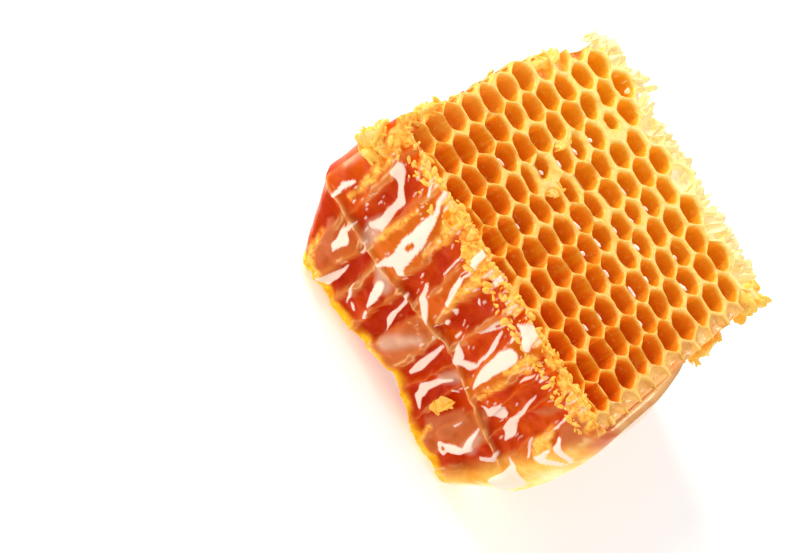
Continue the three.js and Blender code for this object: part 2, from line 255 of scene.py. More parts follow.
def piece(name, points, faces, material, slot, attributes=None, normals=None):
    """A mesh piece from plan points and faces of four corners. Points that fall together are made one, and a face
    that this leaves with three corners stays as a triangle."""
    points = place(points)
    used, faces = np.unique(np.asarray(faces), return_inverse=True)
    _, first, same = np.unique(np.round(points[used] / WELD), axis=0, return_index=True, return_inverse=True)
    faces = same.reshape(-1)[faces.reshape(-1, 4)]
    used = used[first]
    repeat = faces == np.roll(faces, -1, 1)
    folded = (faces[:, 0] == faces[:, 2]) | (faces[:, 1] == faces[:, 3])
    whole = faces[~repeat.any(1) & ~folded]
    three = (repeat.sum(1) == 1) & ~folded
    triangles = faces[three][~repeat[three]].reshape(-1, 3)
    mesh = bpy.data.meshes.new(name)
    mesh.from_pydata(points[used], [], whole.tolist() + triangles.tolist())
    for label, values in (attributes or {}).items():
        layer = mesh.attributes.new(label, "FLOAT", "POINT")
        layer.data.foreach_set("value", np.asarray(values, np.float32)[used])
    mesh.polygons.foreach_set("use_smooth", np.ones(len(mesh.polygons), bool))
    if normals is not None:
        mesh.normals_split_custom_set_from_vertices(normals[used].tolist())
    mesh.materials.append(material)
    obj = bpy.data.objects.new(name, mesh)
    bpy.context.scene.collection.objects.link(obj)
    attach(obj, "root")
    return obj


# The lattice of cells

EDGE_STEPS = 8


class Lattice:
    """One tier's cells: their middles, their hexagons' corners and which side of the slab cuts them."""

    def __init__(self, upper):
        self.upper = upper
        column, row = np.meshgrid(np.arange(FIRST_COLUMN - 2, LAST_COLUMN + 3),
                                  np.arange(FIRST_ROW - 2, LAST_ROW + 3), indexing="ij")
        self.column, self.row = column, row
        middle = self.middles(column, row)
        self.middle = middle
        east = (middle + self.at(middle, 1, 1) + self.at(middle, 1, 0)) / 3
        north = (middle + self.at(middle, 1, 1) + self.at(middle, 0, 1)) / 3
        self.east, self.north = east, north
        self.corners = np.stack([
            east, north, self.at(east, -1, 0), self.at(north, -1, -1), self.at(east, -1, -1), self.at(north, 0, -1),
        ], -2)

    @staticmethod
    def at(values, columns, rows):
        """The values of the cells so many columns and rows further on."""
        return np.roll(values, (-columns, -rows), (0, 1))

    def middles(self, column, row):
        """A cell's middle: the plain lattice, bent by the square of Y and by X times Y, plus a draw of its own."""
        x = column * COLUMN
        y = (row - column / 2) * PITCH
        u, v = x / WARP_REACH, y / WARP_REACH
        bent = y + WARP_SHIFT + WARP_SPREAD * v * v - WARP_SKEW * u * v + (0 if self.upper else PITCH / 2)
        return np.stack([x + PLACE_JITTER * (draw(column, row, 1) * 2 - 1),
                         bent + PLACE_JITTER * (draw(column, row, 2) * 2 - 1)], -1)


def rounded_hexagon(angle):
    """Distance to a hexagon's outline in units of its flats', its corners rounded: only 0.3 of the sharp one's
    excess over 1 is kept."""
    sharp = 1 / np.cos(angle % (math.pi / 3) - math.pi / 6)
    return 1 + 0.3 * (sharp - 1)


def cell_walls(lattice, columns=6 * EDGE_STEPS):
    """The cells of one tier as one sheet. A cell's grid runs round its middle and down its wall. It starts on the
    middle line of the walls, which neighbours share, rounds the rim as a quarter of an ellipse and goes down inside,
    where the wall is thinner. Cut cells keep only the part of their round that is inside the slab."""
    upper = lattice.upper
    sides = columns // 6
    keep = (slice(2, -2), slice(2, -2))
    middle = lattice.middle[keep].reshape(-1, 2)
    corners = lattice.corners[keep].reshape(-1, 6, 2)
    column = lattice.column[keep].reshape(-1)
    row = lattice.row[keep].reshape(-1)
    width = 1 + SIZE_JITTER * (draw(column, row, 3) * 2 - 1)
    length = width.copy()
    move = np.zeros_like(middle)
    if upper:
        for c, r, wide, long, dx, dy in ODD_CELLS:
            odd = (column == c) & (row == r)
            width[odd], length[odd] = wide, long
            move[odd] = dx, dy
    t = np.arange(sides) / sides
    border = (corners[:, :, None] * (1 - t)[None, None, :, None]
              + np.roll(corners, -1, 1)[:, :, None] * t[None, None, :, None]).reshape(-1, columns, 2)
    angle = np.arange(columns) / columns * 2 * math.pi
    reach = OPENING * rounded_hexagon(angle)
    opening = (middle + move)[:, None] + np.stack([np.cos(angle) * width[:, None], np.sin(angle) * length[:, None]],
                                                   -1) * reach[None, :, None]
    wobble = noise(np.dstack([opening, 0 * opening[..., :1]]), 1.7, 4)[..., None]
    opening = opening + 0.14 * wobble * (opening - (middle + move)[:, None]) / OPENING

    level = HEIGHT if upper else 1
    room = np.stack([middle[:, 1] - FRONT, back_at(middle[:, 0]) - middle[:, 1],
                     middle[:, 0] - left_at(middle[:, 1], level),
                     right_at(middle[:, 1], level) - middle[:, 0]], -1)
    nearest = room.argmin(-1)
    least = room.min(-1)
    outside = least < CELL_GONE
    cut = (least < CUT_REACH[nearest]) & (nearest != FRONT_CUT)
    depth = POCKET[0] + POCKET[1] * draw(column, row, 4) + 0.9
    if not upper:
        depth = np.full(len(column), LOWER_DEPTH)
    deep = HEIGHT - MIDRIB - 0.4 if upper else MIDRIB - 0.4
    depth = np.where(cut, deep, depth)

    share = np.concatenate([RIM_SHARES, 1 - WALL_THINS * smoothstep(WALL_SHARES, 0, 0.6)])
    flat = border[:, :, None] + (opening - border)[:, :, None] * share[None, None, :, None]
    drop = RIM_DROP * (1 - np.sqrt(1 - RIM_SHARES ** 3))
    drops = np.concatenate([np.broadcast_to(drop, (len(depth), len(drop))),
                            RIM_DROP + WALL_SHARES * (depth[:, None] - RIM_DROP)], 1)
    spot = np.concatenate([flat[:, :, :1], 0 * flat[:, :, :1, :1]], -1)[:, :, 0]
    if upper:
        crest = HEIGHT - 0.25 + 0.3 * noise(spot, 4.0, 2) + 0.12 * noise(spot, 1.1, 3)
        z = crest[:, :, None] - drops[:, None, :]
    else:
        crest = underside(spot[..., 0], spot[..., 1]) + 0.02 + 0.1 * (1 + noise(spot, 2.0, 2))
        z = np.minimum(crest[:, :, None] + drops[:, None, :], MIDRIB - 0.3)
    points = np.concatenate([flat, z[..., None]], -1)
    points[..., 1] = np.maximum(points[..., 1], FRONT + 0.1)

    x, y = opening[..., 0], opening[..., 1]
    inside = (x < right_at(y, level) + 0.1) & (x > left_at(y, level) - 0.1) & (y < back_at(x) + 0.1)
    inside &= (border[..., 0] < right_at(border[..., 1], level) + 0.6)
    if not upper:
        inside &= ~worn_away(x, y) & (x > left_at(y, level) + 0.4)
    kept = inside & np.roll(inside, -1, 1) & ~outside[:, None]
    kept &= (np.roll(opening, -1, 1)[..., 1] > FRONT - 0.5) | (nearest != FRONT_CUT)[:, None]
    quads = grid_faces(len(column), columns, len(share))[kept].reshape(-1, 4)
    if not upper:
        quads = quads[:, ::-1]

    def spread(values):
        """Values for every point of every cell's grid."""
        return np.broadcast_to(values, z.shape).reshape(-1)

    marks = {"depth": spread(drops[:, None, :]), "torn": spread((cut & (nearest == BACK_CUT))[:, None, None]),
             "tan": spread((cut & (nearest == RIGHT_CUT))[:, None, None])}
    sound = ~outside & (upper | ~worn_away(*middle.T))
    whole = sound & ~cut
    plugged = sound & cut & kept.any(1)
    if not upper:
        over_slope = (nearest == LEFT_CUT) & (least < 2.5) & (crest.mean(1) < MIDRIB - 3)
        plugged |= over_slope & (middle[:, 1] > FRONT + 4) & (middle[:, 1] < BACK - 1)
    plugs = {"ring": flat[plugged][:, :, -1], "side": nearest[plugged], "crest": crest[plugged].mean(1)}
    return points.reshape(-1, 3), quads, marks, points[whole][:, :, -1], plugs


def cell_floors(border, upper):
    """The honey in the cells: rings of shrinking share from the wall to the middle, their height a bowl that rises
    with the fourth power of the share, where the honey clings to the wax."""
    middle = border.mean(1, keepdims=True)
    points = middle[:, :, None] + (border[:, :, None] - middle[:, :, None]) * FLOOR_SHARES[None, None, :, None]
    lift = 0.55 * np.minimum(FLOOR_SHARES, 1) ** 4
    points[..., 2] = middle[..., 2][:, :, None] + (0.12 + lift) * (1 if upper else -1)
    quads = grid_faces(*points.shape[:3]).reshape(-1, 4)
    return points.reshape(-1, 3), quads if upper else quads[:, ::-1]


def cut_columns(plugs, upper):
    """The honey in the cells that the slab's sides cut, as upright columns. A column's rings grow from the middle of
    its hollow top to its wall, go down and close at its foot. The side cuts it off a little inside the walls."""
    ring, side = plugs["ring"], plugs["side"]
    middle = ring.mean(1)
    if upper:
        top, foot = plugs["crest"] - COLUMN_TOPS[side], np.full(len(side), MIDRIB + 0.3)
    else:
        top, foot = np.full(len(side), MIDRIB - 0.3), plugs["crest"] + 1.2
    width = 1.04 * COLUMN_WIDTHS[None, None, :, None]
    flat = middle[:, None, None] + (ring[:, :, None] - middle[:, None, None]) * width
    z = top[:, None] + (foot - top)[:, None] * COLUMN_DROPS + COLUMN_RISES * upper
    z = np.broadcast_to(z[:, None], flat.shape[:3])
    x, y = flat[..., 0], flat[..., 1]
    y = np.clip(y, FRONT + 1, back_at(x) - COLUMN_INSET)
    x = np.clip(x, left_at(y, z) + COLUMN_INSET, right_at(y, z) - COLUMN_INSET)
    points = np.stack([x, y, z], -1)
    quads = grid_faces(*points.shape[:3])[..., ::-1]
    marks = {name: np.broadcast_to((side == number)[:, None, None], z.shape).reshape(-1)
             for name, number in (("torn", BACK_CUT), ("tan", RIGHT_CUT))}
    return points.reshape(-1, 3), quads.reshape(-1, 4), marks


def midrib_sheet(around=360, rows=7):
    """The sheet between the tiers, as a closed plate. A rounded box is drawn out to the slab's sides for its outline,
    and rings of shrinking share fill both faces."""
    u, v = box_round(around)
    y = lerp(FRONT + 1.5, BACK - 0.8, (v + 1) / 2)
    x = lerp(left_at(y, MIDRIB), right_at(y, MIDRIB), (u + 1) / 2)
    spot = np.stack([x, y, 0 * x], -1)
    grow = 1 + 0.012 * noise(spot, 2.0, 51)
    share = np.concatenate([np.linspace(0, 1, rows), np.linspace(1, 0, rows)])[:, None]
    x = X_MIDDLE + (x - X_MIDDLE) * grow * share
    y = Y_MIDDLE + (y - Y_MIDDLE) * grow * share
    z = np.where(np.arange(2 * rows) < rows, MIDRIB - SHEET / 2, MIDRIB + SHEET / 2)[:, None] + 0 * x
    return np.stack([x, y, z], -1).reshape(-1, 3), tube_faces(2 * rows, around)


def filled_cells(around=240, levels=24, inset=1.3):
    """The full cells behind the cut sides, as one closed body. At each height a rounded box is drawn out to a little
    inside the slab's sides; it ends below the upper cells' floors and above the lower ones'."""
    low, high = 3.0, HEIGHT - 6.2
    u, v = box_round(around)
    z = np.concatenate([[low, low], np.linspace(low, high, levels), [high, high]])[:, None]
    share = np.concatenate([[0, 0.6], np.ones(levels), [0.6, 0]])[:, None]
    y = lerp(FRONT + 5, BACK - 2.6, (v + 1) / 2) + 0 * z
    x = lerp(left_at(y, z) + inset, right_at(y, z) - inset, (u + 1) / 2)
    y = Y_MIDDLE + (y - Y_MIDDLE) * share
    x = X_MIDDLE + (x - X_MIDDLE) * share
    return np.stack([x, y, z + 0 * x], -1).reshape(-1, 3), tube_faces(levels + 4, around)


# Wall ends

def blades(starts, ends, thick, low, high, ragged, seed):
    """Upright sheets of wax, all as one array. A blade's section is a long ellipse in plan from start to end, and it
    is swept from its low to its high height; where it is ragged, its outer end and its top move with noise."""
    starts, ends = np.asarray(starts, float), np.asarray(ends, float)
    count, around, levels = len(starts), 20, 16
    angle = np.arange(around) / around * 2 * math.pi
    axis = ends - starts
    size = np.linalg.norm(axis, axis=1, keepdims=True)
    axis = axis / size
    across = np.stack([-axis[:, 1], axis[:, 0]], -1)
    v = np.linspace(0, 1, levels)
    swell = np.sqrt(np.maximum(0, 1 - np.abs(2 * v - 1) ** 14))
    z = low[:, None] + (high - low)[:, None] * v
    tip = np.stack([np.broadcast_to(ends[:, :1], z.shape), np.broadcast_to(ends[:, 1:], z.shape), z], -1)
    reach = size + ragged[:, None] * (noise(tip, 2.3, seed) + 0.5 * noise(tip, 0.9, seed + 1))
    half = reach[:, :, None] / 2
    along = half + half * np.sign(np.cos(angle)) * np.abs(np.cos(angle)) ** 0.6 * swell[:, None]
    side = thick[:, None, None] / 2 * np.sin(angle) * swell[:, None]
    plan = (starts[:, None, None] + axis[:, None, None] * along[..., None] + across[:, None, None] * side[..., None])
    spot = np.concatenate([plan, np.broadcast_to(z[:, :, None, None], (*plan.shape[:3], 1))], -1)
    spot[..., :2] += 0.12 * across[:, None, None] * noise(spot, 1.6, seed + 2)[..., None]
    top = ragged[:, None, None] * np.clip(along / half / 2, 0, 1) * smoothstep(v, 0.5, 1)[:, None]
    spot[..., 2] += top * (noise(spot, 1.3, seed + 3) - 0.5)
    return spot.reshape(-1, 3), repeated(tube_faces(levels, around), count)


def wall_ends(lattice):
    """The walls that the slab's sides cut: the lattice's edges with one end inside, from that end to the side. Those
    under the honey's coat stop short of it."""
    level = HEIGHT - 1 if lattice.upper else MIDRIB - 1
    east, north = lattice.east, lattice.north
    pairs = ((east, north), (north, lattice.at(east, -1, 0)), (east, lattice.at(north, 0, -1)))
    a = np.concatenate([p[2:-2, 2:-2].reshape(-1, 2) for p, _ in pairs])
    b = np.concatenate([q[2:-2, 2:-2].reshape(-1, 2) for _, q in pairs])

    def room(p):
        """How far a place is inside the nearest side."""
        x, y = p[:, 0], p[:, 1]
        return np.minimum.reduce([right_at(y, level) - x, x - left_at(y, level), back_at(x) - y])

    ra, rb = room(a), room(b)
    crossed = (ra > 0) != (rb > 0)
    a, b, ra, rb = a[crossed], b[crossed], ra[crossed], rb[crossed]
    start = np.where((ra > 0)[:, None], a, b)
    end = np.where((ra > 0)[:, None], b, a)
    r0, r1 = np.maximum(ra, rb), np.minimum(ra, rb)
    cross = start + (end - start) * (r0 / (r0 - r1))[:, None]
    half_way_down = np.full(len(cross), level - 7.0)
    coated = (cross[:, 0] > RIGHT - 2) & (cross[:, 1] < coat_end_at(half_way_down))
    cross[:, 0] -= 1.1 * coated
    clear = cross[:, 1] > FRONT + 1
    if not lattice.upper:
        clear &= ~worn_away(*cross.T)
    return start[clear], cross[clear]


# The honey over the cut

# Steps of the coat along the cut and up a tier, the shares of its path where the corners are, and how deep its
# inner sheet lies in the wax
AROUND, UP = 540, 84
LEFT_END, FRONT_END = 0.14, 0.74
BURIED = 1.5

# Marks on the cut, as chains of X, depth below the rim and half the width there. First where the wet honey catches
# the lights: painted pale highlights, with a low bead and shading that leans towards the light
SHINES = (
    ((-26.2, 3.2, 0.4), (-25.4, 4.3, 0.9), (-23.6, 6.0, 0.6), (-21.7, 7.2, 0.7), (-21.2, 9.6, 0.7), (-20.5, 12.2, 1.0),
     (-21.0, 14.2, 0.6)),
    ((-19.6, -0.2, 0.3), (-17.7, 1.6, 0.4), (-16.3, 4.5, 1.0), (-15.4, 7.5, 1.5), (-15.0, 10.0, 1.6),
     (-14.5, 12.5, 1.4), (-13.0, 13.6, 0.8)),
    ((-14.8, 12.5, 1.1), (-15.2, 15.0, 0.7), (-15.5, 17.0, 0.2)),
    ((-27.9, 12.0, 0.3), (-28.3, 14.2, 0.6), (-27.9, 16.8, 0.35)),
    ((-23.8, 1.6, 0.3), (-23.0, 2.6, 0.35)), ((-21.2, 0.9, 0.25), (-20.2, 1.6, 0.3)),
    ((-10.2, 3.0, 0.2), (-9.6, 5.4, 0.3), (-9.0, 8.2, 0.15)),
    ((-8.6, 0.2, 0.5), (-7.9, 2.0, 0.65), (-7.2, 4.6, 0.4), (-6.3, 7.0, 0.55), (-5.2, 9.2, 0.4)),
    ((-9.0, 12.0, 0.35), (-7.6, 13.0, 0.9), (-6.2, 14.2, 0.7), (-4.4, 15.0, 0.2)),
    ((-4.0, 0.6, 0.5), (-3.7, 3.2, 0.3)), ((-3.2, 5.0, 0.15), (-2.6, 5.8, 0.3)), ((-3.6, 9.8, 0.4), (-3.2, 10.4, 0.2)),
    ((-2.8, 12.0, 0.3), (-2.6, 12.6, 0.3)), ((-0.4, 11.8, 0.25), (-0.2, 12.8, 0.3)),
    ((1.9, 2.4, 0.2), (1.5, 4.4, 0.6), (1.0, 7.8, 0.12)),
    ((2.6, 4.6, 0.2), (3.6, 6.4, 0.4), (4.3, 8.8, 0.3), (5.0, 11.2, 0.3)),
    ((3.0, 1.2, 0.3), (5.0, 0.4, 0.9), (6.3, 1.6, 0.7)), ((3.7, 2.2, 0.3), (4.3, 3.4, 0.3)),
    ((6.2, 4.3, 1.1), (6.2, 6.4, 1.3), (6.5, 9.0, 1.2), (7.0, 11.6, 0.7), (7.8, 14.2, 0.15)),
    ((1.0, 12.3, 0.3), (2.4, 13.5, 0.7), (3.0, 14.7, 0.4)), ((3.0, 14.2, 0.5), (4.6, 13.3, 0.8), (5.2, 11.4, 0.2)),
    ((10.6, 3.6, 0.15), (10.4, 5.4, 0.3), (10.5, 6.8, 0.15)), ((11.5, 2.0, 0.35), (11.9, 3.8, 0.2)),
    ((13.2, 5.8, 0.15), (14.2, 8.4, 0.35), (14.6, 10.4, 0.3), (15.0, 12.2, 0.75), (16.0, 13.5, 0.9),
     (16.9, 15.3, 0.2)),
    ((11.7, 11.8, 0.2), (12.8, 13.2, 1.1), (12.0, 14.9, 0.5), (10.8, 15.4, 0.15)),
    ((18.1, 2.0, 0.15), (18.4, 3.4, 0.25), (18.7, 5.2, 0.15)),
    ((20.3, 5.3, 0.3), (21.6, 7.0, 0.5), (23.0, 8.4, 0.3)), ((21.3, 8.4, 0.2), (21.3, 11.2, 0.45), (22.7, 9.2, 0.3)),
    ((18.5, 9.8, 0.2), (19.4, 11.6, 0.35), (20.7, 12.4, 0.2)),
    ((-22.5, 16.4, 0.15), (-22.6, 18.8, 0.5), (-21.5, 19.8, 1.0), (-21.4, 21.4, 0.7), (-21.0, 22.4, 0.15)),
    ((-18.8, 17.0, 0.15), (-18.5, 18.8, 0.25)),
    ((-17.9, 22.8, 0.15), (-17.7, 25.4, 0.55), (-17.8, 27.4, 0.9), (-19.0, 28.2, 0.25)),
    ((-12.7, 18.8, 0.8), (-11.9, 20.6, 0.75), (-11.1, 22.8, 0.2)), ((-10.5, 23.5, 0.35), (-9.9, 24.4, 0.2)),
    ((-14.9, 23.2, 0.3), (-14.0, 24.5, 0.3), (-13.2, 26.0, 0.15)), ((-12.6, 25.2, 0.3), (-11.9, 25.6, 0.3)),
    ((-9.4, 15.8, 0.3), (-8.6, 17.4, 0.35), (-8.1, 20.0, 0.4), (-7.4, 21.8, 0.65), (-6.5, 22.9, 0.2)),
    ((0.0, 15.8, 0.2), (0.3, 18.6, 0.5), (0.8, 22.0, 0.65), (0.9, 23.9, 0.4)),
    ((5.0, 17.6, 0.2), (4.4, 19.4, 0.45), (3.9, 22.6, 0.8), (4.6, 24.8, 0.55), (6.3, 25.8, 0.25)),
    ((6.4, 18.1, 0.25), (7.0, 17.7, 0.2)), ((11.1, 19.6, 0.1), (11.3, 20.8, 0.2)),
    ((13.3, 17.6, 0.15), (14.3, 20.0, 0.5), (15.3, 21.8, 0.7)),
    ((15.3, 22.2, 0.6), (14.4, 23.6, 1.2), (13.2, 25.2, 1.1), (13.8, 26.5, 0.5)),
    ((18.0, 17.7, 0.3), (18.5, 19.2, 0.5), (17.6, 21.1, 0.3)),
    ((19.4, 16.0, 0.2), (20.8, 16.4, 0.5), (21.8, 18.2, 0.9), (21.6, 20.4, 0.8), (21.2, 22.8, 0.4)),
)
# Openings in them, where the honey below shows
HOLES = (
    ((-15.2, 8.5, 0.35), (-15.1, 9.6, 0.4)), ((-7.7, 3.2, 0.1), (-7.3, 4.6, 0.18)),
    ((1.6, 3.8, 0.12), (1.5, 4.8, 0.16)),
    ((13.3, 25.2, 0.3), (13.5, 25.5, 0.25)), ((5.2, 2.0, 0.3), (5.8, 3.0, 0.4)),
)
# Soft bright patches: painted soft reflections of light on the honey
SOFT_SHEENS = (
    ((-20.6, 12.4, 0.7), (-20.3, 14.6, 1.3), (-19.6, 16.6, 0.7)), ((-14.4, 17.6, 0.7), (-12.8, 18.2, 1.4)),
    ((-2.6, 17.4, 0.4), (-4.0, 20.4, 0.9), (-5.0, 23.4, 0.9)), ((5.0, 16.8, 0.7), (4.2, 19.0, 0.5)),
    ((14.4, 19.0, 0.5), (15.4, 22.0, 0.8)), ((-30.9, 8.6, 0.5), (-31.0, 12.0, 0.5)),
)
# Pinkish tan, where the honey over the wax mirrors soft light: painted soft reflections
FILM_SHEENS = (
    ((-20.8, 12.0, 0.8), (-20.2, 14.6, 1.4), (-19.4, 16.8, 1.0)),
    ((-14.6, 17.4, 1.0), (-12.6, 18.6, 1.7), (-11.6, 20.6, 0.8)),
    ((-24.0, 20.0, 1.0), (-22.0, 23.4, 1.6), (-21.0, 25.2, 0.6)), ((-15.6, 21.0, 0.5), (-14.0, 24.0, 0.7)),
    ((-2.2, 16.2, 1.1), (-3.6, 19.5, 2.0), (-4.6, 23.2, 1.8), (-5.0, 25.2, 1.0)),
    ((4.8, 16.0, 1.0), (3.6, 18.4, 0.6)), ((10.6, 19.4, 1.1), (10.4, 22.6, 1.8), (9.4, 25.6, 1.5), (11.0, 27.0, 0.8)),
    ((12.2, 15.8, 0.7), (13.6, 17.8, 0.8), (14.8, 19.6, 0.7)), ((20.0, 0.4, 1.5), (20.8, 3.4, 1.7), (22.6, 6.0, 0.9)),
    ((23.0, 9.0, 0.8), (22.6, 12.6, 0.9), (20.4, 14.0, 0.7)), ((16.6, 2.6, 0.5), (16.0, 5.4, 0.6), (15.2, 7.6, 0.3)),
)
# Wax that shows through, golden
GOLDS = (
    ((-30.4, 0.2, 1.0), (-28.8, 2.6, 1.4), (-27.4, 6.6, 0.9), (-26.6, 11.0, 0.5), (-26.2, 15.0, 0.2)),
    ((-16.8, 0.2, 0.9), (-14.8, 1.2, 1.3), (-13.4, 3.4, 0.5), (-13.2, 8.0, 0.2)),
    ((-12.6, -0.4, 0.6), (-10.8, 0.8, 1.6), (-9.8, 2.6, 0.6)),
    ((-7.0, 0.4, 1.2), (-5.8, 2.8, 1.0), (-5.4, 6.0, 0.5), (-4.4, 10.6, 0.3)),
    ((8.2, 1.8, 0.6), (8.7, 4.4, 1.0), (8.0, 6.8, 0.4)),
    ((-19.0, 4.6, 0.3), (-18.8, 9.0, 0.45), (-19.1, 14.0, 0.3)), ((16.8, 0.4, 0.9), (17.9, 1.6, 0.5)),
    ((18.6, 6.0, 0.6), (19.8, 8.2, 1.3), (20.6, 10.6, 1.0)), ((9.4, 8.0, 0.2), (9.2, 11.5, 0.4), (9.4, 14.6, 0.3)),
    ((-24.4, 22.6, 0.3), (-23.0, 26.0, 0.6), (-21.0, 28.4, 1.6), (-18.6, 28.0, 1.2)),
    ((9.6, 26.0, 0.4), (9.9, 27.6, 0.5)),
)
SHINE_FACES = (-0.276, -0.879, 0.39)


def to_stroke(x, depth, stroke):
    """How far each place lies inside a stroke, in millimetres: the stroke is a chain of tapered rods, and a place's
    value is the rod's half width less its distance from the rod's middle line."""
    best = np.full(np.shape(x), -9.0)
    for (x0, d0, w0), (x1, d1, w1) in zip(stroke, stroke[1:]):
        dx, dd = x1 - x0, d1 - d0
        t = np.clip(((x - x0) * dx + (depth - d0) * dd) / (dx * dx + dd * dd), 0, 1)
        far = np.hypot(x - x0 - t * dx, depth - d0 - t * dd)
        best = np.maximum(best, lerp(w0, w1, t) - far)
    return best


def surface_normals(grid):
    """Unit normals of a grid of points: the cross product of its two directions."""
    across = np.gradient(grid, axis=0)
    up = np.gradient(grid, axis=1)
    normal = np.cross(across, up)
    return normal / np.maximum(np.linalg.norm(normal, axis=-1, keepdims=True), 1e-9)


def ridge_at(x):
    """Height of the line between the tiers: an arch by a bell, falling towards the right."""
    return MIDRIB - 0.5 + 2.4 * bell(x, 0, 9) - 1.2 * smoothstep(x, 10, 20)


def foot_at(x):
    """Where the honey ends below: a low lip with an arch by a bell."""
    return np.maximum(0.05, 0.7 + 2.6 * bell(x, -1, 6) - 2 * smoothstep(x, 6, 12))


def to_strokes(x, depth, strokes):
    """How far each place lies inside the nearest of several strokes."""
    best = np.full(np.shape(x), -9.0)
    for stroke in strokes:
        best = np.maximum(best, to_stroke(x, depth, stroke))
    return best


def cover(x, depth, strokes, low, high):
    """How much a place is covered by strokes: 0 to 1 as it goes from low to high inside the nearest."""
    return smoothstep(to_strokes(x, depth, strokes), low, high)


def sparkles(count):
    """Small highlight strokes near the rim and the midrib, where the broken wax glitters; they are painted with the
    shines.
    """
    k = np.arange(count)
    x = lerp(-29, 19, draw(k, 1, 60))
    high = draw(k, 2, 60) < 0.6
    depth = np.where(high, 5.0 * draw(k, 3, 60) ** 1.6, 9.5 + 8 * draw(k, 3, 60))
    long, turn = 0.2 + 0.7 * draw(k, 4, 60), 0.9 * (draw(k, 5, 60) - 0.3)
    half = 0.07 + 0.13 * draw(k, 6, 60)
    return [((a, b, w), (a + size * math.sin(way), b + size * math.cos(way), w * 0.6))
            for a, b, size, way, w in zip(x, depth, long, turn, half)]


def coat_faces():
    """The faces of a shell whose rings run up its outer sheet and down its inner one, with a cap at either end that
    joins each place of the outer sheet to its own of the inner."""
    k = np.arange(UP - 1)
    cap = np.stack([k, k + 1, 2 * UP - 2 - k, 2 * UP - 1 - k], -1)
    last = (AROUND - 1) * 2 * UP
    return np.concatenate([tube_faces(AROUND, 2 * UP)[:, ::-1], cap, last + cap[:, ::-1]])


